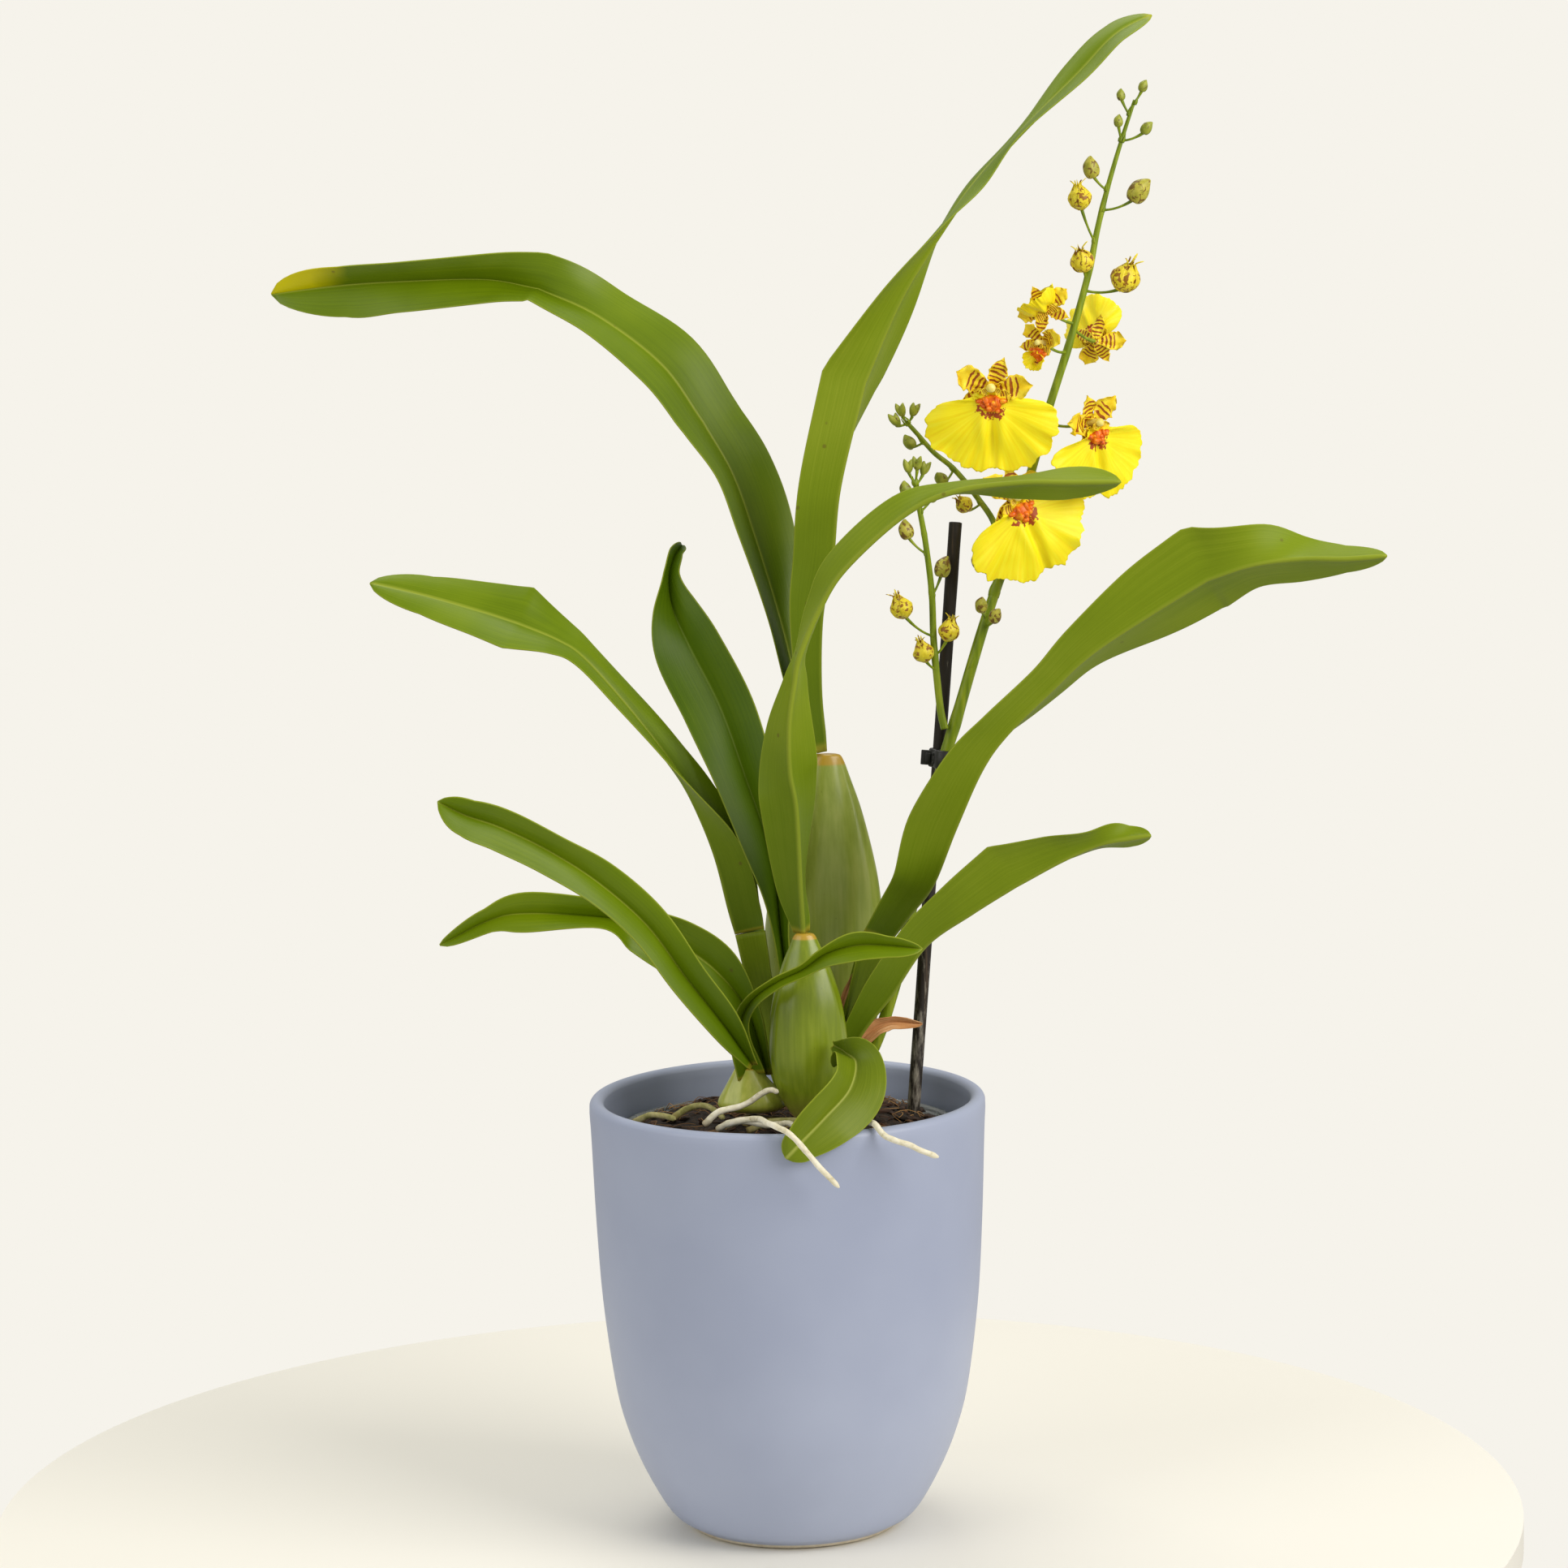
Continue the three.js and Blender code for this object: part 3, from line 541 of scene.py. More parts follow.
def stainedBamboo():
    # split bamboo stained nearly black: long grain, with pale scuffs where it has rubbed low down
    material, tree, shader = startMaterial("stainedBamboo", {"Roughness": 0.62, "IOR": 1.45})
    place = addNode(tree, "TexCoord")
    stretch = addNode(tree, "Mapping", {"Scale": (900, 900, 22)}, {"Vector": place})
    grain = addNode(tree, "TexNoise", {"Scale": 1.0, "Detail": 4.0}, {"Vector": stretch})
    tone = addNode(tree, "ValToRGB",
                   {"stops": [(0.3, "#17110b"), (0.6, stakeSizes["stain"]), (0.8, "#4a3a26")]},
                   {"Fac": grain})
    drawn = addNode(tree, "Mapping", {"Scale": (420, 420, 75)}, {"Vector": place})
    rub = addNode(tree, "TexNoise", {"Scale": 1.0, "Detail": 6.0, "Roughness": 0.7}, {"Vector": drawn})
    split = addNode(tree, "SeparateXYZ", {}, {0: place}).node.outputs
    low = addNode(tree, "MapRange", {"From Min": 0.16, "From Max": 0.24, "To Min": 0.16, "To Max": 0.0},
                  {"Value": split["Z"]})
    reach = addNode(tree, "Math", {"operation": "ADD"}, {0: rub, 1: low})
    scuff = addNode(tree, "ValToRGB", {"stops": [(0.62, 0.0), (0.82, 0.7)]}, {"Fac": reach})
    worn = addNode(tree, "Mix", {"data_type": "RGBA", 7: stakeSizes["scuff"]}, {0: scuff, 6: tone})
    lift = addNode(tree, "Bump", {"Strength": 0.4, "Distance": 0.0004}, {"Height": grain})
    linkInputs(tree, shader, {"Base Color": worn, "Normal": lift})
    return material


def blackNylon():
    # moulded black nylon: dull, with a fine grain
    material, tree, shader = startMaterial("blackNylon", {"Roughness": 0.45, "IOR": 1.53})
    place = addNode(tree, "TexCoord")
    grain = addNode(tree, "TexNoise", {"Scale": 900.0, "Detail": 2.0}, {"Vector": place})
    tone = addNode(tree, "ValToRGB", {"stops": [(0.3, "#101010"), (0.7, "#1e1d1c")]}, {"Fac": grain})
    lift = addNode(tree, "Bump", {"Strength": 0.15, "Distance": 0.0002}, {"Height": grain})
    linkInputs(tree, shader, {"Base Color": tone, "Normal": lift})
    return material


def modelStake():
    s = stakeSizes
    foot, top = Vector(s["foot"]) * mm, Vector(s["top"]) * mm
    lean = (top - foot).normalized()
    start = foot - lean * s["buried"] * mm
    count = 60
    bm = bmesh.new()
    points = []
    for i in range(count + 1):
        share = min(i / (count - 2), 1)
        points.append(start.lerp(top, share) - lean * 0.35 * mm * (count - i if i > count - 3 else 2) / 2)
    points[-1] = top.copy()
    radii = [s["radius"] * (1 - 0.03 * noise.noise(Vector((0, 0, i * 0.4)))) for i in range(count + 1)]
    radii[-2] *= 0.96
    radii[-1] *= 0.72
    addRod(bm, points, lambda share: radii[round(share * count)], 18)
    finishPiece("supportStake", bm, [stainedBamboo()], ["support_stake"])
    return foot, top, lean


def addBand(bm, centre, outer, inner, height, turn):
    # a short tube with softened edges
    soft = 0.35 * mm
    profile = [
        (inner, -height / 2 + soft), (inner + soft, -height / 2), (outer - soft, -height / 2),
        (outer, -height / 2 + soft), (outer, height / 2 - soft), (outer - soft, height / 2),
        (inner + soft, height / 2), (inner, height / 2 - soft), (inner, -height / 2 + soft),
    ]
    verts = [bm.verts.new((radius, 0, level)) for radius, level in profile]
    edges = [bm.edges.new(pair) for pair in zip(verts, verts[1:])]
    known = set(bm.verts) - set(verts)
    bmesh.ops.spin(bm, geom=verts + edges, cent=(0, 0, 0), axis=(0, 0, 1), angle=2 * math.pi, steps=40,
                   use_merge=True)
    made = [vert for vert in bm.verts if vert not in known]
    bmesh.ops.remove_doubles(bm, verts=made, dist=1e-6)
    made = [vert for vert in bm.verts if vert not in known]
    bmesh.ops.transform(bm, matrix=turn @ Matrix.Translation(centre), verts=made)


def addBlock(bm, centre, size, soft, turn):
    known = set(bm.verts)
    bmesh.ops.create_cube(bm, size=1)
    block = [vert for vert in bm.verts if vert not in known]
    bmesh.ops.scale(bm, verts=block, vec=size)
    edges = list({edge for vert in block for edge in vert.link_edges})
    bmesh.ops.bevel(bm, geom=edges, offset=soft, segments=3, affect="EDGES", profile=0.5, material=-1)
    block = [vert for vert in bm.verts if vert not in known]
    bmesh.ops.transform(bm, matrix=turn @ Matrix.Translation(centre), verts=block)


def modelClip(foot, top, lean):
    s = stakeSizes
    turn = Vector((0, 0, 1)).rotation_difference(lean).to_matrix().to_4x4()
    turn.translation = foot.lerp(top, s["clipAt"])
    bm = bmesh.new()
    addBand(bm, (0, 0, 0), 3.6 * mm, 2.45 * mm, s["clipHeight"], turn)
    addBand(bm, (1.9 * mm, -5 * mm, 0), 3.8 * mm, 2.6 * mm, s["clipHeight"], turn)
    addBlock(bm, (-4.4 * mm, -1.5 * mm, 0), (3.9 * mm, 1.6 * mm, 5.2 * mm), 0.3 * mm, turn)
    addBlock(bm, (-3.9 * mm, -1.5 * mm, 0), (2.0 * mm, 2.4 * mm, 3.4 * mm), 0.3 * mm, turn)
    for side in (-1, 1):
        addBlock(bm, (-1.6 * mm, (-4.4 + side * 0.75) * mm, side * 1.4 * mm),
                 (1.9 * mm, 0.7 * mm, 1.1 * mm), 0.2 * mm, turn)
    finishPiece("stakeClip", bm, [blackNylon()], ["stake_clip"])


modelClip(*modelStake())
print("stake and clip modelled")


# ---- pseudobulbs and rhizome

# share of the half width, share of the height, from the middle of the foot to the middle of the top
plumpOutline = [
    [0, 0], [0.3, 0], [0.46, 0.02], [0.74, 0.12], [0.93, 0.27], [0.97, 0.42], [0.9, 0.58], [0.78, 0.7],
    [0.58, 0.835],
    [0.4, 0.925], [0.27, 0.985], [0.18, 1], [0, 1],
]
stubOutline = [[0, 0], [0.6, 0], [0.95, 0.1], [1, 0.25], [0.75, 0.55], [0.48, 0.85], [0.37, 0.97],
               [0.25, 1], [0, 1]]
pseudobulbs = [
    {"node": "pseudobulb_back", "at": (12, 12, 153.5), "half": (22, 11.5), "height": 121,
     "lean": 4, "outline": plumpOutline, "ribs": 0.022, "edge": 0.2,
     "tones": ("#76861f", "#909e3f", "#a5ad54")},
    {"node": "pseudobulb_front", "at": (8, -27, 152.2), "half": (14, 10), "height": 65,
     "lean": -1, "outline": plumpOutline, "ribs": 0.008, "edge": 0.12,
     "tones": ("#64770a", "#788a12", "#8f9e2a")},
    {"node": "pseudobulb_left", "at": (-11.8, -19.5, 153.2), "half": (12, 7.8), "height": 15.5,
     "lean": -2, "outline": stubOutline, "ribs": 0.03, "edge": 0.1,
     "tones": ("#858f24", "#a3ab3e", "#bdbd5c")},
]


def bulbSkin(name, tones):
    # firm, waxy skin of a pseudobulb: faint long lines, a paler top with an orange-yellow joint ring
    finish = {"Roughness": 0.3, "IOR": 1.45, "Coat Weight": 0.25, "Coat Roughness": 0.2}
    material, tree, shader = startMaterial(name, finish)
    mark = addNode(tree, "Attribute", {"attribute_name": "place"})
    split = addNode(tree, "SeparateXYZ", {}, {0: mark}).node.outputs
    place = addNode(tree, "TexCoord")
    stretch = addNode(tree, "Mapping", {"Scale": (600, 600, 28)}, {"Vector": place})
    lines = addNode(tree, "TexNoise", {"Scale": 1.0, "Detail": 5.0}, {"Vector": stretch})
    patch = addNode(tree, "TexNoise", {"Scale": 55.0, "Detail": 3.0}, {"Vector": place})
    both = addNode(tree, "Mix", {"data_type": "FLOAT", 0: 0.45}, {2: lines, 3: patch})
    tone = addNode(tree, "ValToRGB", {"stops": [(0.24, tones[0]), (0.5, tones[1]), (0.76, tones[2])]},
                   {"Fac": both})
    joint = addNode(tree, "ValToRGB", {"stops": [(0.965, 0.0), (0.978, 0.85), (0.99, 1.0)]},
                    {"Fac": split["Y"]})
    ringed = addNode(tree, "Mix", {"data_type": "RGBA", 7: "#b7952e"}, {0: joint, 6: tone})
    base = addNode(tree, "MapRange", {"From Min": 0.16, "From Max": 0.02, "To Min": 0.0, "To Max": 0.5},
                   {"Value": split["Y"]})
    footed = addNode(tree, "Mix", {"data_type": "RGBA", 7: "#9a8a4a"}, {0: base, 6: ringed})
    specks = addNode(tree, "TexVoronoi", {"Scale": 230.0}, {"Vector": place})
    fleck = addNode(tree, "ValToRGB", {"stops": [(0.03, 0.4), (0.07, 0.0)]}, {"Fac": specks})
    flecked = addNode(tree, "Mix", {"data_type": "RGBA", 7: "#4b4a1c"}, {0: fleck, 6: footed})
    lift = addNode(tree, "Bump", {"Strength": 0.1, "Distance": 0.0004}, {"Height": lines})
    linkInputs(tree, shader, {"Base Color": flecked, "Normal": lift})
    return material


def modelPseudobulb(s):
    bm = bmesh.new()
    place = markPlace(bm)
    bmesh.ops.create_uvsphere(bm, u_segments=96, v_segments=72, radius=1)
    halfWidth, halfDepth = s["half"]
    for vert in bm.verts:
        level = math.asin(max(-1, min(1, vert.co.z))) / math.pi + 0.5
        angle = math.atan2(vert.co.y, vert.co.x)
        share, height = alongStations(s["outline"], level)
        share = max(share, 0)
        fullness = math.sin(math.pi * min(max(height, 0), 1)) ** 0.6
        spot = Vector((math.cos(angle) * 2.2, math.sin(angle) * 2.2, height * 1.5))
        rib = math.cos(angle * 7 + 0.6) * 0.6 + noise.noise(spot)
        ridge = sum(bump(math.remainder(angle + math.pi / 2 + turn, 2 * math.pi),
                         0.17) for turn in (-0.95, 0.95))
        radius = share * (1 + (s["ribs"] * rib + 0.05 * ridge) * fullness)
        sharpen = 1 - s["edge"] * math.cos(angle) ** 2  # thins towards the two side edges
        x = halfWidth * radius * math.cos(angle) + s["lean"] * height
        y = halfDepth * radius * math.sin(angle) * sharpen
        vert[place] = (angle / math.pi, height if share > 0.3 or height < 0.5 else 1.0, 0)
        vert.co = Vector((x + s["at"][0], y + s["at"][1], s["at"][2] + height * s["height"])) * mm
    finishPiece(camelName(s["node"]), bm, [bulbSkin(camelName(s["node"]) + "Skin", s["tones"])],
                [s["node"]])


rhizomeLine = [[-15, -16, 149], [-3, -20, 147.5], [6, -24, 147.5], [11, -8, 148], [12, 10, 149],
               [13, 20, 150]]


def scalyRhizome():
    # creeping stem between the pseudobulbs: woody green-brown with dry scale rings
    material, tree, shader = startMaterial("scalyRhizome", {"Roughness": 0.75})
    mark = addNode(tree, "Attribute", {"attribute_name": "place"})
    split = addNode(tree, "SeparateXYZ", {}, {0: mark}).node.outputs
    place = addNode(tree, "TexCoord")
    grain = addNode(tree, "TexNoise", {"Scale": 320.0, "Detail": 5.0}, {"Vector": place})
    rings = addNode(tree, "Math", {"operation": "MULTIPLY_ADD", 1: 90.0}, {0: split["Y"], 2: grain})
    wave = addNode(tree, "Math", {"operation": "SINE"}, {0: rings})
    shade = addNode(tree, "Math", {"operation": "MULTIPLY_ADD", 1: 0.16}, {0: wave, 2: grain})
    tone = addNode(tree, "ValToRGB", {"stops": [(0.3, "#4a3a1c"), (0.5, "#7a6a34"), (0.7, "#a59358")]},
                   {"Fac": shade})
    lift = addNode(tree, "Bump", {"Strength": 0.5, "Distance": 0.0007}, {"Height": shade})
    linkInputs(tree, shader, {"Base Color": tone, "Normal": lift})
    return material


def modelRhizome():
    bm = bmesh.new()

    def radiusAt(share):
        knuckle = 0.35 * abs(math.sin(share * math.pi * 9)) ** 3
        return (4 - 1.2 * abs(2 * share - 1) ** 3 - 0.3 + knuckle) * mm

    addRod(bm, smoothLine(rhizomeLine, 70), radiusAt, 20)
    finishPiece("rhizome", bm, [scalyRhizome()], ["rhizome"])


for bulb in pseudobulbs:
    modelPseudobulb(bulb)
modelRhizome()
print("pseudobulbs and rhizome modelled")


# ---- leaves, sheaths and the dry bract

# Each row along the midrib, from base to tip: x, y, z and half width in millimetres, then how far in
# degrees the left and the right half turn towards the front from the upright left-right plane.
# "upper" says which way the upper surface looks, the front (-1) or the back (1).
leaves = {
    "leaf_back_left": {"upper": -1, "skin": "yellowTipped", "kinks": (5, 8), "stations": [
        [11, 17, 276, 4, 60, -20], [6, 18, 297, 8, 65, -25], [0, 20, 322, 12, 75, -25],
        [-9, 24, 353, 15.5, 75, -15], [-16, 28, 373, 16, 75, -20], [-26, 32, 391, 16, 65, -30],
        [-40, 37, 411, 16, 60, -25], [-62, 42, 428, 14, 65, -30], [-83, 46, 438, 14, 75, 15],
        [-102, 49, 442, 13, 50, 45], [-131, 52, 442, 12.5, 30, 55], [-153, 54, 441, 12, 20, 55],
        [-179, 56, 438, 1, 30, 30],
    ]},
    "leaf_back_tall": {"upper": 1, "skin": "plain", "kinks": (5,), "stations": [
        [15.5, 8, 276, 4, 50, -110], [14, 7, 298, 10, 40, -125], [15, 4, 324, 13.5, 35, -120],
        [19, 1, 344, 14.5, 20, -110], [22, -2, 370, 15, 20, -100], [31, -5, 406, 16, 20, -70],
        [44, -5, 435, 12, 55, -60], [58, -3, 457, 10, 85, -85], [70, 1, 473, 9, 110, -100],
        [85, 6, 489, 8, 95, -95], [107, 10, 510, 8.5, 110, -130], [120, 12, 523, 7.5, 110, -130],
        [133, 14, 530, 1, 110, -130],
    ]},
    "leaf_front_arching": {"upper": 1, "skin": "plain", "stations": [
        [6.6, -27.3, 216.8, 4.2, -40, -60], [6, -30, 232, 10, -35, -80], [5, -34, 261, 13.5, -25, -60],
        [3, -36, 275, 13.5, -40, -45], [3, -38, 291, 12.5, -55, -50], [5, -39, 305, 11, -70, -65],
        [7, -40, 315, 10, -80, -80], [14, -41, 331, 9.5, -60, -85], [23, -43, 345, 10, -45, -90],
        [43, -46, 363, 9.5, -45, -90], [60, -48, 371, 8, -70, -80], [82, -52, 374, 8, -75, -45],
        [100, -55, 374, 8, -55, -45], [116, -57, 374, 1, -50, -50],
    ]},
    "leaf_left_twisted": {"upper": -1, "skin": "plain", "kinks": (8,), "stations": [
        [-16.6, -3, 213.3, 11, 155, -30], [-19, -3, 222, 11.5, 160, -25], [-24, -1, 242, 12.5, 145, -10],
        [-32, 3, 262, 9, 110, -15], [-41, 6, 276, 7.5, 90, -20], [-55, 10, 294, 8, 75, -45],
        [-69, 12, 310, 8, 70, -50], [-78, 14, 316, 11, 70, -50], [-92, 16, 322, 15.5, 60, -30],
        [-104, 18, 326, 13, 55, -35], [-124, 20, 332, 9, 50, -40], [-144, 22, 337, 1, 50, -40],
    ]},
    "leaf_dark_upright": {"upper": -1, "skin": "dark", "stations": [
        [3, -9, 172, 4, 65, 60], [-1, -8, 213, 6, 65, 60], [-4, -3, 241, 12, 45, 45],
        [-13, 6, 269, 14, 40, 40], [-21, 12, 292, 14.5, 25, 35], [-31, 18, 312, 14, 25, 35],
        [-37, 23, 325, 11, 55, 40], [-39, 27, 336, 7, 80, 55], [-37, 32, 343, 5, 65, 60],
        [-34, 38, 347, 1, 60, 60],
    ]},
    "leaf_low_left": {"upper": -1, "skin": "plain", "stations": [
        [-12, -30, 172, 3, 60, 50], [-22, -37, 188, 8, 60, 40], [-34, -42, 205, 9, 55, 35],
        [-47, -45, 224, 9, 50, 25], [-63, -51, 240, 9, 50, 20], [-79, -56, 252, 9, 40, 35],
        [-95, -60, 261, 9, 35, 35], [-107, -63, 266, 8, 40, 40], [-116, -65, 271, 1, 40, 40],
    ]},
    "leaf_low_left_behind": {"upper": -1, "skin": "plain", "stations": [
        [-7, -14, 165, 4, 60, 60], [-13, -13, 187, 7, 55, 50], [-24, -13, 202, 11, 40, 30],
        [-37, -13, 212, 12, 25, 35], [-51, -14, 219, 11, 40, 45], [-64, -15, 222, 9, 75, 35],
        [-90, -16, 224, 9, 55, 25], [-103, -17, 222, 6, 50, 40], [-120, -19, 214, 1, 50, 50],
    ]},
    "leaf_right_broad": {"upper": 1, "skin": "plain", "kinks": (9,), "stations": [
        [36.2, -10, 210.4, 11, 30, -140], [44, -14, 221, 13, 25, -135], [52, -18, 232, 16, 25, -130],
        [60, -22, 252, 19, 25, -120], [69, -26, 273, 17, 35, -100], [78, -28, 286, 14, 40, -80],
        [94, -31, 302, 12, 35, -65], [107, -34, 314, 14, 30, -60], [128, -38, 328, 18, 15, -50],
        [146, -41, 339, 20, 10, -50], [161, -44, 344, 14, 5, -50], [178, -47, 346, 12, -55, -45],
        [192, -50, 346, 8, -60, -50], [206, -52, 347, 1, -60, -50],
    ]},
    "leaf_right_low": {"upper": 1, "skin": "plain", "kinks": (5,), "stations": [
        [21.5, -15, 171, 5, 20, -150], [27, -18, 181, 7.5, 20, -150], [37, -21, 194, 11, 20, -150],
        [49, -26, 212, 11, 20, -140],
        [65, -32, 224, 14.5, 15, -120], [80, -37, 234, 17.5, 10, -100], [95, -41, 243, 11, 15, -75],
        [108, -43, 249, 7, 30, -65], [119, -45, 251, 5, -45, -50], [126, -46, 252, 1, -45, -50],
    ]},
    "leaf_curved_small": {"upper": -1, "skin": "plain", "stations": [
        [-12.5, -19.5, 167, 6.5, 45, 40], [-15.5, -22, 178, 5.5, 50, 45], [-15, -27, 188, 4, 50, 50],
        [-11, -34, 196, 4, 55, 55], [-3, -42, 203, 4, 60, 60], [6, -46, 208, 4.5, 65, 60],
        [14, -49, 214, 6, 65, 50], [25, -52, 217, 7, 40, 50], [36, -54, 217, 5.5, 45, 55],
        [47, -56, 216, 1, 50, 50],
    ]},
    "leaf_new_front": {"upper": -1, "skin": "fresh", "stations": [
        [16.8, -38, 179.7, 2, 50, 45], [20.5, -43, 178.3, 5.5, 45, 40], [23.7, -50, 175.6, 9.5, 25, 40],
        [21, -59, 168.3, 12.5, 12, 45], [12.8, -66.5, 160.7, 11.5, 8, 45], [4.2, -71.3, 152.7, 7, 5, 25],
        [-0.9, -72.6, 147.6, 1, 5, 15],
    ]},
    "sheath_left": {"upper": -1, "skin": "plain", "square": True, "stations": [
        [-3, -5, 157, 5, 130, -50], [-8, -4, 176, 8, 140, -45], [-13, -3, 197, 10, 150, -35],
        [-16.5, -3, 213, 11, 155, -30],
    ]},
    "sheath_right": {"upper": 1, "skin": "plain", "square": True, "stations": [
        [19, -9, 158, 6, 45, -145], [26, -9, 178, 9, 40, -145], [31, -9, 196, 10, 35, -145],
        [36, -10, 210, 11, 30, -140],
    ]},
}


def leafSkin(name, s):
    # thin waxy blade: long parallel veins, a pale midrib, a fine yellowish rim, softly uneven green and
    # painted shade deepening its lower part
    finish = {"Roughness": s["roughness"], "IOR": 1.42, "Specular IOR Level": s["shine"]}
    material, tree, shader = startMaterial(name, finish)
    mark = addNode(tree, "Attribute", {"attribute_name": "place"})
    split = addNode(tree, "SeparateXYZ", {}, {0: mark}).node.outputs
    across, along, width = (split[axis] for axis in "XYZ")
    place = addNode(tree, "TexCoord")
    # veins follow the blade: tight across it, drawn out along it
    stretch = addNode(tree, "VectorMath", {"operation": "MULTIPLY", 1: (26, 3.5, 0)}, {0: mark})
    veins = addNode(tree, "TexNoise", {"Scale": 1.0, "Detail": 3.0, "Roughness": 0.65}, {"Vector": stretch})
    patch = addNode(tree, "TexNoise", {"Scale": 22.0, "Detail": 3.0}, {"Vector": place})
    blend = addNode(tree, "Mix", {"data_type": "FLOAT", 0: s["patches"]}, {2: veins, 3: patch})
    tone = addNode(tree, "ValToRGB", {"stops": [(0.22, s["deep"]), (0.5, s["middle"]), (0.78, s["pale"])]},
                   {"Fac": blend})
    # painted shade: the lower part of a blade is mixed towards a deeper green, standing in for the shade it
    # sits in among the other leaves
    low = addNode(tree, "MapRange", {"From Min": 0.02, "From Max": 0.42, "To Min": 0.62, "To Max": 0.0},
                  {"Value": along})
    shadedAtBase = addNode(tree, "Mix", {"data_type": "RGBA", 7: s["paintedShadeTone"]}, {0: low, 6: tone})
    # distance from the midrib and from the rim in millimetres
    share = addNode(tree, "Math", {"operation": "ABSOLUTE"}, {0: across})
    fromRib = addNode(tree, "Math", {"operation": "MULTIPLY"}, {0: share, 1: width})
    rib = addNode(tree, "MapRange", {"From Min": 0.25, "From Max": 1.0, "To Min": s["rib"], "To Max": 0.0},
                  {"Value": fromRib})
    ribbed = addNode(tree, "Mix", {"data_type": "RGBA", 7: s["ribTone"]}, {0: rib, 6: shadedAtBase})
    fromRim = addNode(tree, "Math", {"operation": "SUBTRACT"}, {0: width, 1: fromRib})
    rim = addNode(tree, "MapRange", {"From Min": 0.05, "From Max": 0.4, "To Min": 0.45, "To Max": 0.0},
                  {"Value": fromRim})
    rimmed = addNode(tree, "Mix", {"data_type": "RGBA", 7: "#a3ad3a"}, {0: rim, 6: ribbed})
    # the tip ages first
    aged = addNode(tree, "Math", {"operation": "MULTIPLY_ADD", 1: 0.12}, {0: patch, 2: along})
    old = addNode(tree, "MapRange", {"From Min": s["ageFrom"] + 0.06, "From Max": s["ageFrom"] + 0.1},
                  {"Value": aged})
    half = addNode(tree, "MapRange",
                   {"From Min": 0.0, "From Max": 0.1, "To Min": s["ageLeft"], "To Max": 1.0},
                   {"Value": across})
    turned = addNode(tree, "Math", {"operation": "MULTIPLY"}, {0: old, 1: half})
    yellowed = addNode(tree, "Mix", {"data_type": "RGBA", 7: s["ageTone"]}, {0: turned, 6: rimmed})
    # the joint where the blade leaves its pseudobulb
    joint = addNode(tree, "ValToRGB", {"stops": [(0.0, 0.7), (0.006, 0.6), (0.014, 0.0)]}, {"Fac": along})
    jointed = addNode(tree, "Mix", {"data_type": "RGBA", 7: "#a89a30"}, {0: joint, 6: yellowed})
    specks = addNode(tree, "TexVoronoi", {"Scale": 62.0}, {"Vector": place})
    fleck = addNode(tree, "ValToRGB", {"stops": [(0.03, 0.55), (0.06, 0.0)]}, {"Fac": specks})
    flecked = addNode(tree, "Mix", {"data_type": "RGBA", 7: "#5b4a1c"}, {0: fleck, 6: jointed})
    gloss = addNode(tree, "MapRange", {"To Min": s["roughness"] - 0.07, "To Max": s["roughness"] + 0.1},
                    {"Value": patch})
    lift = addNode(tree, "Bump", {"Strength": 0.14, "Distance": 0.0004}, {"Height": veins})
    linkInputs(tree, shader, {"Base Color": flecked, "Roughness": gloss, "Normal": lift})
    return material


# the base tone is the painted shade colour that the lower part of each blade is mixed towards
upperTones = {
    "deep": "#4f6700", "middle": "#677f04", "pale": "#80940f", "rib": 0.6, "ribTone": "#a0ab3c",
    "paintedShadeTone": "#3d5800", "roughness": 0.36, "shine": 0.24, "patches": 0.6,
    "ageFrom": 1.0, "ageLeft": 1.0, "ageTone": "#c2bb2a",
}
underTones = {**upperTones, "deep": "#617606", "middle": "#758912", "pale": "#8b9a26", "rib": 0.4,
              "ribTone": "#98a238", "roughness": 0.44, "shine": 0.2}
leafTones = {
    "plain": (upperTones, underTones),
    "yellowTipped": ({**upperTones, "ageFrom": 0.9, "ageLeft": 0.0, "ageTone": "#cdc400", "shine": 0.35},
                     {**underTones, "ageFrom": 0.9, "ageLeft": 0.0, "ageTone": "#c0b81c"}),
    "dark": ({**upperTones, "deep": "#3a5200", "middle": "#4c6704", "pale": "#62790e",
              "ribTone": "#6f8528"},
             {**underTones, "deep": "#54690c", "middle": "#68791c", "pale": "#7d8c34"}),
    "fresh": ({**upperTones, "deep": "#56680a", "middle": "#6b7d12", "pale": "#848f28",
               "ribTone": "#b4bb5c"}, underTones),
}


def roundedWidth(stations, t, width):
    # the last stretch of a blade narrows like the end of an oval instead of straight to a point
    spans = len(stations) - 1
    s = max(0, t * spans - (spans - 1))
    if s == 0:
        return width
    return max(0.35, mix(width, stations[-2][3] * (1 - s ** 2.2) ** 0.6, 0.7))


def leafFrames(stations, kinks, square):
    # the midrib point, the direction of growth, both half directions and the width at each share
    rows = {}

    def frameAt(t):
        key = round(t, 5)
        if key not in rows:
            x, y, z, width, left, right = alongStations(stations, t, kinks)
            after, before = (Vector(alongStations(stations, t + step, kinks)[:3]) for step in (0.006, -0.006))
            ahead = (after - before).normalized()
            side = Vector((0, 1, 0)).cross(ahead).normalized()
            front = side.cross(ahead)
            left, right = math.radians(left), math.radians(right)
            leftHalf = -math.cos(left) * side + math.sin(left) * front
            rightHalf = math.cos(right) * side + math.sin(right) * front
            width = width if square else roundedWidth(stations, t, width)
            rows[key] = (Vector((x, y, z)) * mm, ahead, leftHalf, rightHalf, width * mm)
        return rows[key]

    return frameAt


bladeShape = {"crease": 0.09, "bulge": 0.055, "wave": 0.9 * mm, "middle": 0.62 * mm, "rim": 0.2 * mm,
              "groove": 0.4 * mm}


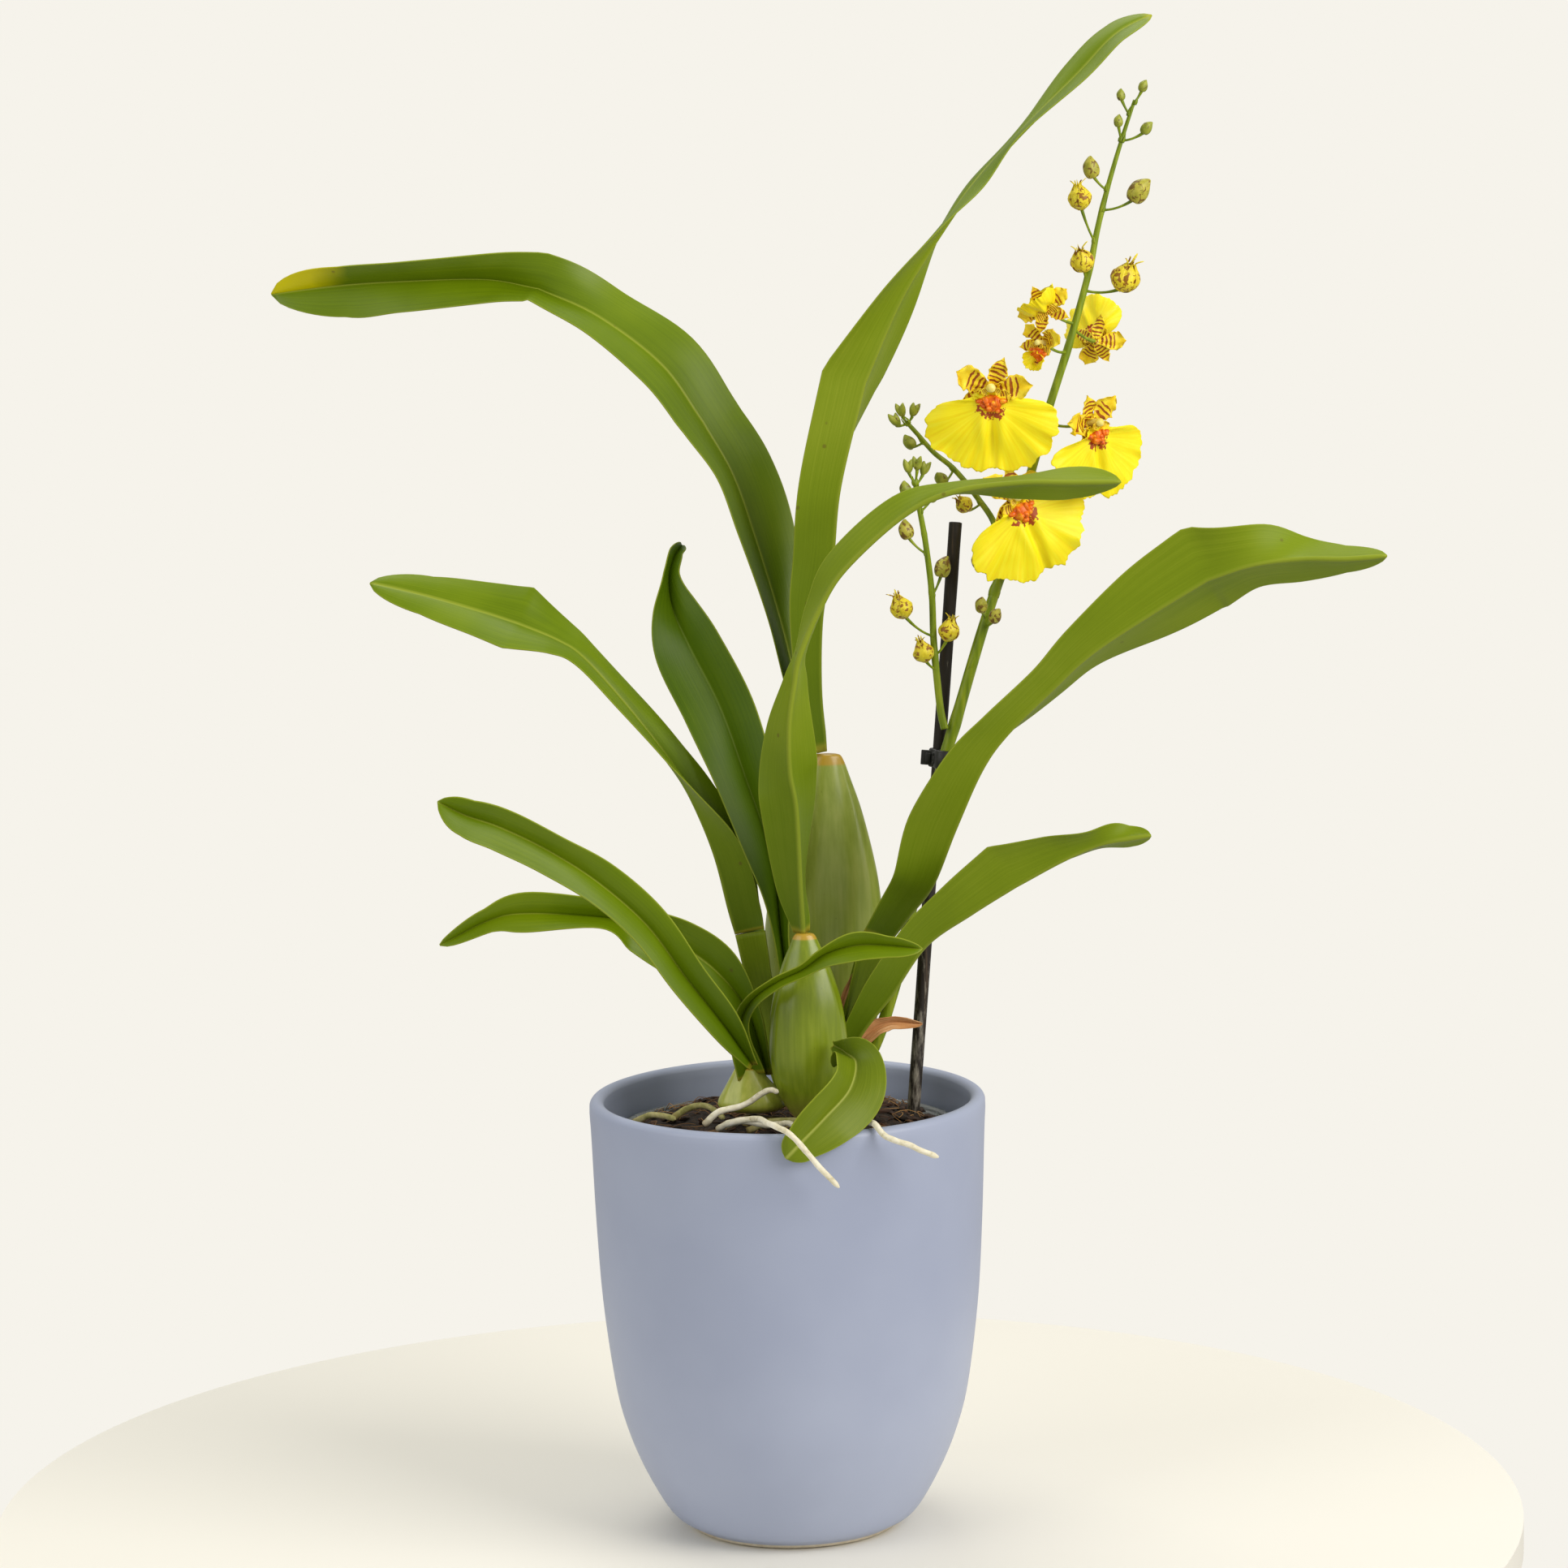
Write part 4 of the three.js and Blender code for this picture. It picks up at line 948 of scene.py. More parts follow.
def modelBlade(name, node, s, skins, shape=bladeShape, seed=0.0):
    frameAt = leafFrames(s["stations"], s.get("kinks", ()), s.get("square", False))
    upper = s["upper"]

    def placeAt(u, t):
        middle, ahead, left, right, width = frameAt(t)
        u -= 0.12 * math.sin(2 * math.pi * u)  # closer rows at the midrib and at the rims
        round_ = math.sqrt(u * u + shape["crease"] ** 2)
        keel = round_ - shape["crease"] * (1 - u * u) * 0.5
        point = middle + ((right - left) * u + (right + left) * keel) * width / 2
        outward = (right - left) + (right + left) * u / round_
        normal = ahead.cross(outward).normalized()
        narrow = min(1, width / (6 * mm))
        hill = bump(u * width, 0.9 * mm) * narrow
        ripple = noise.noise(Vector((t * s.get("waves", 5), u * 0.8 + 3, seed)))
        shift = upper * shape["bulge"] * width * math.sin(math.pi * abs(u)) - upper * shape["groove"] * hill
        point = point + normal * (shift + shape["wave"] * ripple * u * u * narrow)
        half = (mix(shape["middle"], shape["rim"], abs(u) ** 1.4) + 0.2 * mm * hill) * mix(0.45, 1, narrow)
        return point, normal, half, (u, t, width / mm)

    bm = bmesh.new()
    faceIndex = (0, 1) if upper > 0 else (1, 0)
    addSheet(bm, 26, (len(s["stations"]) - 1) * 9, placeAt, faceIndex)
    finishPiece(name, bm, skins, [node] if node else [])


leafSkins = {key: [leafSkin(key + "LeafUpper", tones[0]), leafSkin(key + "LeafUnder", tones[1])]
             for key, tones in leafTones.items()}
for number, (node, s) in enumerate(leaves.items()):
    modelBlade(camelName(node), node, s, leafSkins[s["skin"]],
               seed=number * 3.7)
print("leaves modelled")


def dryPaper():
    # dead bract: crisp, brown and papery with darker veins
    material, tree, shader = startMaterial("dryBractPaper", {"Roughness": 0.8})
    mark = addNode(tree, "Attribute", {"attribute_name": "place"})
    stretch = addNode(tree, "VectorMath", {"operation": "MULTIPLY", 1: (14, 2.5, 0)}, {0: mark})
    veins = addNode(tree, "TexNoise", {"Scale": 1.0, "Detail": 5.0}, {"Vector": stretch})
    tone = addNode(tree, "ValToRGB", {"stops": [(0.28, "#9a6434"), (0.5, "#c48a52"), (0.74, "#dfb688")]},
                   {"Fac": veins})
    lift = addNode(tree, "Bump", {"Strength": 0.6, "Distance": 0.0006}, {"Height": veins})
    linkInputs(tree, shader, {"Base Color": tone, "Normal": lift})
    return material


dryBract = {
    "upper": -1,
    "stations": [[24, -13, 171, 3, 40, 40], [28, -12, 178, 4, 40, 50], [36, -9, 182, 3.5, 50, 50],
                 [48, -3, 180, 0.8, 50, 50]],
    "waves": 9,
}
dryShape = {"crease": 0.4, "bulge": 0.1, "wave": 1.1 * mm, "middle": 0.35 * mm, "rim": 0.18 * mm,
            "groove": 0.15 * mm}
dryPaperSkin = dryPaper()
modelBlade("dryBract", "dry_bract", dryBract, [dryPaperSkin], dryShape)
raggedSheath = {
    "upper": -1,
    "stations": [[18, -12, 181, 1.2, 20, 60], [20.2, -12.5, 190, 1.6, 30, 70],
                 [23, -12.5, 197, 1.1, 20, 60], [26.8, -12, 204, 0.6, 20, 60]],
    "waves": 22,
}
raggedShape = {**dryShape, "wave": 1.6 * mm, "middle": 0.2 * mm, "rim": 0.12 * mm}
modelBlade("raggedSheath", None, raggedSheath, [dryPaperSkin], raggedShape)


# ---- aerial roots

roots = [
    {"tone": "cream",
     "line": [[-29, -31, 151], [-24, -32, 155.5], [-15, -31, 158], [-7, -33, 163], [-3, -35, 163]]},
    {"tone": "cream",
     "line": [[-24, -41, 151.5], [-20, -48, 155], [-11, -56, 158], [-5.5, -69, 158.8], [1, -77.2, 156.6],
              [10, -81, 147], [17, -81, 139]]},
    {"tone": "cream",
     "line": [[-21, -38, 152], [-15, -42, 154.5], [-7, -48, 154], [0, -52, 155.5], [4, -55, 154.5]]},
    {"tone": "green", "line": [[-14, -39, 150.5], [-6, -37, 153], [4, -39, 153.5], [12, -40, 150.5]]},
    {"tone": "cream",
     "line": [[19, -46, 151.5], [23.5, -54, 155], [29, -61.5, 157.2], [33.5, -67.5, 153.6],
              [42, -71, 150.5], [51, -72, 147]]},
    {"tone": "green", "line": [[-54, -10, 148], [-47, -15, 151.5], [-39, -22, 151.5]]},
    {"tone": "green", "line": [[-40, -15, 150.5], [-34, -12, 153.5], [-28, -14, 154], [-22, -25, 152]]},
]
rootTones = {"cream": ("#b9ae86", "#e2dbc0", "#f2eddb"), "green": ("#6d6a35", "#8f8c50", "#b5ab78")}


def velamen(name, tones):
    # spongy dry skin of an orchid root: chalky, faintly wrinkled, stained where it touched the bark
    material, tree, shader = startMaterial(name, {"Roughness": 0.85})
    mark = addNode(tree, "Attribute", {"attribute_name": "place"})
    split = addNode(tree, "SeparateXYZ", {}, {0: mark}).node.outputs
    place = addNode(tree, "TexCoord")
    wrinkles = addNode(tree, "TexNoise", {"Scale": 700.0, "Detail": 4.0}, {"Vector": place})
    stains = addNode(tree, "TexNoise", {"Scale": 130.0, "Detail": 4.0}, {"Vector": place})
    both = addNode(tree, "Mix", {"data_type": "FLOAT", 0: 0.6}, {2: wrinkles, 3: stains})
    tone = addNode(tree, "ValToRGB", {"stops": [(0.33, tones[0]), (0.46, tones[1]), (0.62, tones[2])]},
                   {"Fac": both})
    old = addNode(tree, "MapRange", {"From Min": 0.12, "From Max": 0.0, "To Max": 0.7},
                  {"Value": split["Y"]})
    aged = addNode(tree, "Mix", {"data_type": "RGBA", 7: "#8a7544"}, {0: old, 6: tone})
    lift = addNode(tree, "Bump", {"Strength": 0.5, "Distance": 0.0004}, {"Height": both})
    linkInputs(tree, shader, {"Base Color": aged, "Normal": lift})
    return material


def modelRoot(number, s, skin):
    points = smoothLine(s["line"], (len(s["line"]) - 1) * 12)
    for i, point in enumerate(points):
        drift = Vector([noise.noise(Vector((i * 0.17, number * 5.1, axis * 9.3))) for axis in range(3)])
        points[i] = point + drift * 0.35 * mm
    last = len(points) - 1

    def radiusAt(share):
        knob = 1 + 0.1 * noise.noise(Vector((share * last * 0.35, number * 2.3, 0)))
        blunt = math.sqrt(max(0.12, 1 - max(0, share - 0.97) * 30))
        return mix(1.2, 0.95, share) * knob * blunt * mm

    bm = bmesh.new()
    addRod(bm, points, radiusAt, 12)
    finishPiece("aerialRoot%d" % number, bm, [skin], ["aerial_root_%d" % number])


rootSkins = {key: velamen(key + "Velamen", tones) for key, tones in rootTones.items()}
for number, root in enumerate(roots, 1):
    modelRoot(number, root, rootSkins[root["tone"]])
print("roots modelled")


# ---- flower stems with their buds and bracts

spikeLine = [
    [20, 5, 157], [31, 6, 170], [40, 8, 197], [47, 10, 228], [54, 11, 258], [57.2, 11.4, 271],
    [62, 12, 286],
    [71, 14, 315], [79, 17, 338], [88, 20, 366], [96, 22, 393], [104, 24, 417], [111, 26, 441],
    [114.5, 27, 457],
    [118.5, 28, 472], [123.5, 29, 488], [128, 30, 501],
]
leftSprayLine = [
    [57.8, 9.2, 283], [56.3, 10, 291], [54.5, 12, 313], [54, 12, 331], [52, 11, 349], [50, 10, 361],
    [48.5, 9, 371],
]
backSprayLine = [
    [75, 21.5, 344], [77, 25, 353], [71, 28, 363], [63, 29, 373], [56, 28, 379], [50, 27, 386],
    [46.5, 26, 390],
]
# middle of the bud, the place on the stem that carries its stalk, its width in millimetres and its stage
spikeBuds = [
    [(131, 30, 506), (129, 30, 500), 3.4, "green"], [(123, 29, 503), (126.5, 29.5, 496), 3.2, "green"],
    [(122, 28, 494), (124, 29, 487), 3.4, "green"], [(132, 28, 491.5), (124.5, 29, 487), 4, "green"],
    [(112, 26, 478), (118.5, 27.5, 470), 6, "ripe"], [(108, 24, 468), (114, 26.5, 452), 8.2, "beaked"],
    [(129, 25, 470), (118, 27.5, 463), 7.6, "ripe"], [(71, 7, 327), (73, 15, 321), 4.6, "ripe"],
    [(76, 8, 323), (72, 14, 318), 4.6, "ripe"], [(70, 12, 342), (78, 16.5, 335), 4.6, "ripe"],
]
leftSprayBuds = [
    [(46, 7, 376), (48.6, 10, 370), 4, "tuft"], [(49.5, 7, 377), (48.8, 10, 370), 4, "tuft"],
    [(52, 11, 375), (49, 10, 369), 4, "tuft"], [(45, 8, 368), (49.5, 10.5, 364), 4.4, "green"],
    [(54.5, 11, 366), (50.5, 11, 360), 5, "green"], [(45, 11, 353.5), (51.5, 12, 345), 5.5, "ripe"],
    [(58, 14, 340), (54, 13, 330), 6, "ripe"], [(43, 6, 327), (54.5, 14, 316), 8, "beaked"],
    [(60, 11, 318), (54.8, 14, 309), 7.5, "beaked"], [(50.5, 8, 311), (54.8, 14, 304), 7.5, "beaked"],
]
backSprayBuds = [
    [(42, 25, 391), (47, 26, 390), 4.2, "tuft"], [(44.5, 25, 394.5), (47, 26, 390.5), 4, "tuft"],
    [(49, 26, 394.5), (47.2, 26, 390), 4, "tuft"], [(47, 27, 383), (53, 27.5, 383), 4.4, "green"],
    [(58, 25, 370), (63, 29, 373), 4.6, "green"], [(66, 24, 361), (72, 28, 361), 6, "beaked"],
]


def stemSkin():
    # smooth young stem: yellow-green, brownish where the sun caught it, slightly glossy
    material, tree, shader = startMaterial("flowerStemSkin", {"Roughness": 0.42, "IOR": 1.42})
    place = addNode(tree, "TexCoord")
    stretch = addNode(tree, "Mapping", {"Scale": (500, 500, 45)}, {"Vector": place})
    lines = addNode(tree, "TexNoise", {"Scale": 1.0, "Detail": 4.0}, {"Vector": stretch})
    tone = addNode(tree, "ValToRGB", {"stops": [(0.32, "#647a06"), (0.52, "#7f940c"), (0.72, "#9aa61c")]},
                   {"Fac": lines})
    lift = addNode(tree, "Bump", {"Strength": 0.2, "Distance": 0.0003}, {"Height": lines})
    linkInputs(tree, shader, {"Base Color": tone, "Normal": lift})
    return material


def budSkin(name, base, blotch, cover):
    # closed bud: firm, waxy sepals blotched with brown
    material, tree, shader = startMaterial(name, {"Roughness": 0.45, "IOR": 1.42})
    place = addNode(tree, "TexCoord")
    cloud = addNode(tree, "TexNoise", {"Scale": 420.0, "Detail": 3.0}, {"Vector": place})
    tone = addNode(tree, "ValToRGB", {"stops": [(0.35, base[0]), (0.65, base[1])]}, {"Fac": cloud})
    blots = addNode(tree, "TexNoise", {"Scale": 560.0, "Detail": 2.0, "Distortion": 0.8}, {"Vector": place})
    mask = addNode(tree, "ValToRGB", {"stops": [(cover, 0.0), (cover + 0.05, 0.9)]}, {"Fac": blots})
    mottled = addNode(tree, "Mix", {"data_type": "RGBA", 7: blotch}, {0: mask, 6: tone})
    linkInputs(tree, shader, {"Base Color": mottled})
    return material


def addTeardrop(bm, centre, aim, width, length, beak, materialIndex):
    # closed bud: three sepals meeting in shallow seams, drawn out to a bent beak
    place = markPlace(bm)
    verts = bmesh.ops.create_uvsphere(bm, u_segments=24, v_segments=18, radius=1)["verts"]
    profile = [[0, 0], [0.3, 0.03], [0.47, 0.22], [0.5, 0.45], [0.42, 0.68], [0.24, 0.86], [0.1, 0.97],
               [0, 1]]
    for vert in verts:
        level = math.asin(max(-1, min(1, vert.co.z))) / math.pi + 0.5
        angle = math.atan2(vert.co.y, vert.co.x)
        share, height = alongStations(profile, level)
        seam = 1 - 0.13 * abs(math.sin(1.5 * angle)) ** 8 * math.sin(math.pi * min(1, max(0, height)))
        bend = beak * max(0, height - 0.6) ** 2 * length
        vert[place] = (angle / math.pi, height, 0)
        vert.co = Vector((max(share, 0) * width * seam * math.cos(angle) + bend,
                          max(share, 0) * width * seam * math.sin(angle), (height - 0.5) * length))
    turn = Vector((0, 0, 1)).rotation_difference(aim).to_matrix().to_4x4()
    bmesh.ops.transform(bm, matrix=Matrix.Translation(centre) @ turn, verts=verts)
    for face in {face for vert in verts for face in vert.link_faces}:
        face.material_index = materialIndex


def addTepal(bm, length, width, bend, flare, matrix, materialIndex, kind=0, grid=(12, 22), seed=0.0,
             waves=0.5, cup=0.0):
    # one petal or sepal growing along +X in its own plane, facing +Z
    outline = [[0.26], [0.36], [0.55], [0.8], [0.97], [1.0], [0.84], [0.12]]
    if kind == 0:
        outline = [[0.3], [0.5], [0.74], [0.94], [1.0], [0.86], [0.56], [0.06]]

    def placeAt(u, t):
        half = alongStations(outline, t)[0] * width
        ripple = noise.noise(Vector((t * 4.5 + seed, u * 1.5, seed * 2.3)))
        frill = noise.noise(Vector((t * 11, math.copysign(2, u), seed * 3)))
        frill += 0.5 * math.sin(t * 31 + seed * 7 + u)
        x = length * (t - 0.06 * u * u * t) + width * 0.1 * u * u * noise.noise(Vector((u * 4, t * 9, seed)))
        y = half * u * (1 + 0.1 * frill * abs(u))
        z = bend * length * t * t - flare * length * max(0, t - 0.6) ** 2 + cup * half * u * u
        z += waves * width * (ripple * 0.9 * u * u + frill * 0.3 * abs(u) ** 2.5)
        z -= 0.07 * width * bump(u, 0.2) * (1 - t)
        return Vector((x, y, z)), Vector((0, 0, 1)), 0.17 * mm, (u, t, kind)

    verts = addSheet(bm, grid[0], grid[1], placeAt, (materialIndex, materialIndex))
    bmesh.ops.transform(bm, matrix=matrix, verts=verts)
    return verts


def addOpeningBud(bm, centre, aim, width, materialIndex, seed):
    # five blotched tepals closed around the bud with their tips standing off
    turn = Vector((0, 0, 1)).rotation_difference(aim).to_matrix().to_4x4()
    length = width * 1.3
    flares = (0.42, 0.14, 0.3, 0.18, 0.36)
    inside = bmesh.ops.create_icosphere(bm, subdivisions=3, radius=width * 0.4,
                                        matrix=Matrix.Translation(centre))["verts"]
    for face in {face for vert in inside for face in vert.link_faces}:
        face.material_index = materialIndex
    for k in range(5):
        angle = k * 2 * math.pi / 5 + seed
        inner = k % 2

        def placeAt(u, t):
            share = alongStations([[0.1], [0.36], [0.47], [0.48], [0.4], [0.25], [0.15], [flares[k]]], t)[0]
            spread = mix(0.85, 0.05, max(0, t - 0.45) / 0.55) * u
            uneven = 0.04 * width * noise.noise(Vector((u * 2, t * 6, angle)))
            radius = width * (share - 0.035 * inner) + uneven
            around = angle + spread
            out = Vector((math.cos(around), math.sin(around), 0))
            height = (t - 0.45) * length
            lean = Vector((0, 0, 0.25 - t * 0.2))
            return out * radius + Vector((0, 0, height)), (out + lean).normalized(), 0.18 * mm, (u, t, 0.3)

        verts = addSheet(bm, 10, 16, placeAt, (materialIndex, materialIndex))
        bmesh.ops.transform(bm, matrix=Matrix.Translation(centre) @ turn, verts=verts)


def nearestOn(points, wanted):
    return min(points, key=lambda point: (point - wanted).length)


def addStalk(bm, start, end, thick, materialIndex, sag=0.16):
    # a bud's own stalk: leaves the stem sideways, curves up and thickens into the ovary
    bend = start.lerp(end, 0.5) - Vector((0, 0, 1)) * (end - start).length * sag
    points = []
    for i in range(15):
        t = i / 14
        points.append(start * (1 - t) ** 2 + bend * 2 * t * (1 - t) + end * t * t)
    addRod(bm, points, lambda t: thick * (0.85 + 0.25 * bump(t, 0.12) + 0.45 * max(0, t - 0.6) / 0.4), 10,
           materialIndex)


def addBract(bm, foot, along, out, length, width, materialIndex, hug=0.6):
    # little pointed scale clasping the stem below a stalk
    across = along.cross(out).normalized()
    outline = [[0.9], [1.0], [0.8], [0.45], [0.06]]

    def placeAt(u, t):
        half = alongStations(outline, t)[0] * width
        turn = u * hug * 1.9 * (1 - 0.4 * t)
        point = foot + along * length * t + across * half * math.sin(turn) / 1.1
        point += out * (half * math.cos(turn) * 0.9 - 0.1 * width + length * 0.22 * t * t)
        normal = (out * math.cos(turn) + across * math.sin(turn)).normalized()
        return point, normal, 0.13 * mm, (u, t, 0)

    addSheet(bm, 8, 10, placeAt, (materialIndex, materialIndex))


def addBuds(bm, buds, points):
    for number, (at, foot, width, stage) in enumerate(buds):
        centre, start = Vector(at) * mm, nearestOn(points, Vector(foot) * mm)
        width = width * mm
        aim = ((centre - start).normalized() + Vector((0, 0, 1))).normalized()
        length = width * (1.3 if stage != "tuft" else 1.5)
        end = centre - aim * length * 0.42
        addStalk(bm, start, end, 0.5 * mm, 0)
        if stage == "beaked":
            addOpeningBud(bm, centre, aim, width, 2, number * 1.3)
        elif stage == "tuft":
            for k in range(3):
                tilt = Vector((math.cos(k * 2.1 + number), math.sin(k * 2.1 + number), 0)) * 0.4
                addTeardrop(bm, centre + tilt * width * 0.5, (aim + tilt).normalized(), width * 0.62,
                            length * 0.85, 0.3, 3)
        else:
            addTeardrop(bm, centre, aim, width, length, 0.9, 3 if stage == "green" else 1)
        place = points.index(start)
        along = (points[min(place + 1, len(points) - 1)] - points[max(place - 1, 0)]).normalized()
        out = centre - start
        out = (out - along * out.dot(along)).normalized()
        addBract(bm, start - along * 0.6 * mm, along, out, 3.4 * mm, 1.4 * mm, 0)


def nodeSwelling(share, places, reach=0.012):
    return sum(bump(share - place, reach) for place in places)


def modelSpray(name, node, line, steps, radiusAt, buds, skins, extra=None):
    bm = bmesh.new()
    points = smoothLine(line, steps)
    addRod(bm, points, radiusAt, 18)
    addBuds(bm, buds, points)
    if extra:
        extra(bm, points)
    finishPiece(name, bm, skins, [node])


# ---- flowers

# turn: about the upright axis from facing the front; nod: face tipped down; roll: spun in its own plane
# cup: how far the segments still close forwards, 0 when the flower is fully open
flowers = [
    {"node": "flower_large", "at": (75.5, 3, 402), "from": (94, 21.5, 387), "turn": -5, "nod": 5,
     "roll": 0, "size": 1, "cup": 0.0, "close": 0.0, "petals": (153, 4), "dorsal": 67, "grid": 80},
    {"node": "flower_lower", "at": (83, 8, 363), "from": (86.5, 19.5, 361), "turn": 20, "nod": -5,
     "roll": 26, "size": 1, "cup": 0.0, "close": 0.0, "petals": (118, 12), "dorsal": 70, "grid": 80},
    {"node": "flower_right", "at": (110.5, 9, 389), "from": (95, 21.5, 389.5), "turn": 36, "nod": 4,
     "roll": 12, "size": 0.92, "cup": 0.1, "close": 0.1, "petals": (165, 35), "dorsal": 96, "grid": 72},
    {"node": "flower_upper_left", "at": (95, 16, 429.5), "from": (107.5, 24.5, 423.5), "turn": -6,
     "nod": 10, "roll": 34, "size": 0.72, "cup": 0.8, "close": 0.0, "petals": (165, 5), "dorsal": 84,
     "grid": 48, "fold": 100, "lip": 0.68},
    {"node": "flower_turned_away", "at": (113.5, 31, 417.5), "from": (106, 24.5, 422), "turn": 162,
     "nod": 0, "roll": 150, "size": 0.76, "cup": 0.55, "close": 0.2, "petals": (150, 30), "dorsal": 90,
     "grid": 48, "fold": 20, "lip": 0.85},
    {"node": "flower_side", "at": (94, 11, 417), "from": (104, 23.5, 414), "turn": -38, "nod": 0,
     "roll": -15, "size": 0.7, "cup": 0.6, "close": 0.2, "petals": (145, 35), "dorsal": 60, "grid": 36,
     "lip": 0.36},
]


def lipSkin():
    # thin bright yellow tissue: soft sheen, fine veins fanning out from the callus, brown specks close to it
    finish = {"Roughness": 0.5, "IOR": 1.4, "Subsurface Weight": 0.12, "Subsurface Scale": 0.002}
    material, tree, shader = startMaterial("yellowLipTissue", finish)
    mark = addNode(tree, "Attribute", {"attribute_name": "place"})
    split = addNode(tree, "SeparateXYZ", {}, {0: mark}).node.outputs
    place = addNode(tree, "TexCoord")
    fan = addNode(tree, "VectorMath", {"operation": "MULTIPLY", 1: (16, 1.4, 0)}, {0: mark})
    veins = addNode(tree, "TexNoise", {"Scale": 1.0, "Detail": 4.0}, {"Vector": fan})
    tone = addNode(tree, "ValToRGB", {"stops": [(0.3, "#f8dd04"), (0.5, "#fde90c"), (0.7, "#fff12c")]},
                   {"Fac": veins})
    blots = addNode(tree, "TexNoise", {"Scale": 700.0, "Detail": 2.0}, {"Vector": place})
    near = addNode(tree, "MapRange", {"From Min": 0.2, "From Max": 0.34, "To Min": 0.12, "To Max": -0.3},
                   {"Value": split["Y"]})
    reach = addNode(tree, "Math", {"operation": "ADD"}, {0: blots, 1: near})
    mask = addNode(tree, "ValToRGB", {"stops": [(0.56, 0.0), (0.6, 1.0)]}, {"Fac": reach})
    spotted = addNode(tree, "Mix", {"data_type": "RGBA", 7: "#a8480f"}, {0: mask, 6: tone})
    lift = addNode(tree, "Bump", {"Strength": 0.18, "Distance": 0.0004}, {"Height": veins})
    linkInputs(tree, shader, {"Base Color": spotted, "Normal": lift})
    return material


def callusSkin():
    # the warty callus: glossy orange darkening to red-brown
    material, tree, shader = startMaterial("orangeCallus", {"Roughness": 0.35, "IOR": 1.42})
    place = addNode(tree, "TexCoord")
    cloud = addNode(tree, "TexNoise", {"Scale": 480.0, "Detail": 3.0}, {"Vector": place})
    tone = addNode(tree, "ValToRGB",
                   {"stops": [(0.3, "#a8400a"), (0.42, "#dd5f0c"), (0.56, "#f27c14"), (0.7, "#f9b81e")]},
                   {"Fac": cloud})
    linkInputs(tree, shader, {"Base Color": tone})
    return material


def barredSkin():
    # petals and sepals: yellow crossed by irregular chestnut bars, clear yellow towards rim and tip
    material, tree, shader = startMaterial("barredPetalTissue", {"Roughness": 0.5, "IOR": 1.4})
    mark = addNode(tree, "Attribute", {"attribute_name": "place"})
    split = addNode(tree, "SeparateXYZ", {}, {0: mark}).node.outputs
    place = addNode(tree, "TexCoord")
    cloud = addNode(tree, "TexNoise", {"Scale": 300.0, "Detail": 3.0}, {"Vector": place})
    ground = addNode(tree, "ValToRGB", {"stops": [(0.35, "#eec70a"), (0.65, "#fbe536")]}, {"Fac": cloud})
    wander = addNode(tree, "Math", {"operation": "MULTIPLY_ADD", 1: 7.0}, {0: cloud})
    phase = addNode(tree, "Math", {"operation": "MULTIPLY_ADD", 1: 46.0}, {0: split["Y"], 2: wander})
    wave = addNode(tree, "Math", {"operation": "SINE"}, {0: phase})
    # clear beyond a share of the length that is shorter on petals (mark 1) than on sepals (mark 0)
    limit = addNode(tree, "Math", {"operation": "MULTIPLY_ADD", 1: 0.2}, {0: split["Z"], 2: split["Y"]})
    inside = addNode(tree, "MapRange", {"From Min": 0.8, "From Max": 0.98, "To Min": 0.0, "To Max": -1.6},
                     {"Value": limit})
    aside = addNode(tree, "Math", {"operation": "ABSOLUTE"}, {0: split["X"]})
    margin = addNode(tree, "MapRange", {"From Min": 0.72, "From Max": 0.95, "To Min": 0.0, "To Max": -1.2},
                     {"Value": aside})
    level = addNode(tree, "Math", {"operation": "ADD"}, {0: wave, 1: inside})
    level = addNode(tree, "Math", {"operation": "ADD"}, {0: level, 1: margin})
    mask = addNode(tree, "ValToRGB", {"stops": [(0.0, 0.0), (0.25, 1.0)]}, {"Fac": level})
    rust = addNode(tree, "ValToRGB", {"stops": [(0.4, "#8a3f0e"), (0.65, "#b5651a")]}, {"Fac": cloud})
    barred = addNode(tree, "Mix", {"data_type": "RGBA"}, {0: mask, 6: ground, 7: rust})
    linkInputs(tree, shader, {"Base Color": barred})
    return material


def columnSkin():
    # waxy column: pale yellow, nearly white at the anther cap
    material, tree, shader = startMaterial("waxyColumn", {"Roughness": 0.35, "IOR": 1.42})
    place = addNode(tree, "TexCoord")
    cloud = addNode(tree, "TexNoise", {"Scale": 350.0, "Detail": 2.0}, {"Vector": place})
    tone = addNode(tree, "ValToRGB", {"stops": [(0.35, "#ecd24e"), (0.62, "#f6e88e")]}, {"Fac": cloud})
    linkInputs(tree, shader, {"Base Color": tone})
    return material


# reach of the lip from the middle of its callus, in millimetres, for every 10 degrees from straight down
lipReach = [
    [22.4], [23.8], [24.4], [24.6], [24.8], [24.9], [25.0], [24.6], [23.0], [18.0],
    [10.4], [7.4], [6.4], [6.2], [5.8], [5.2], [4.8], [4.6], [4.6],
]


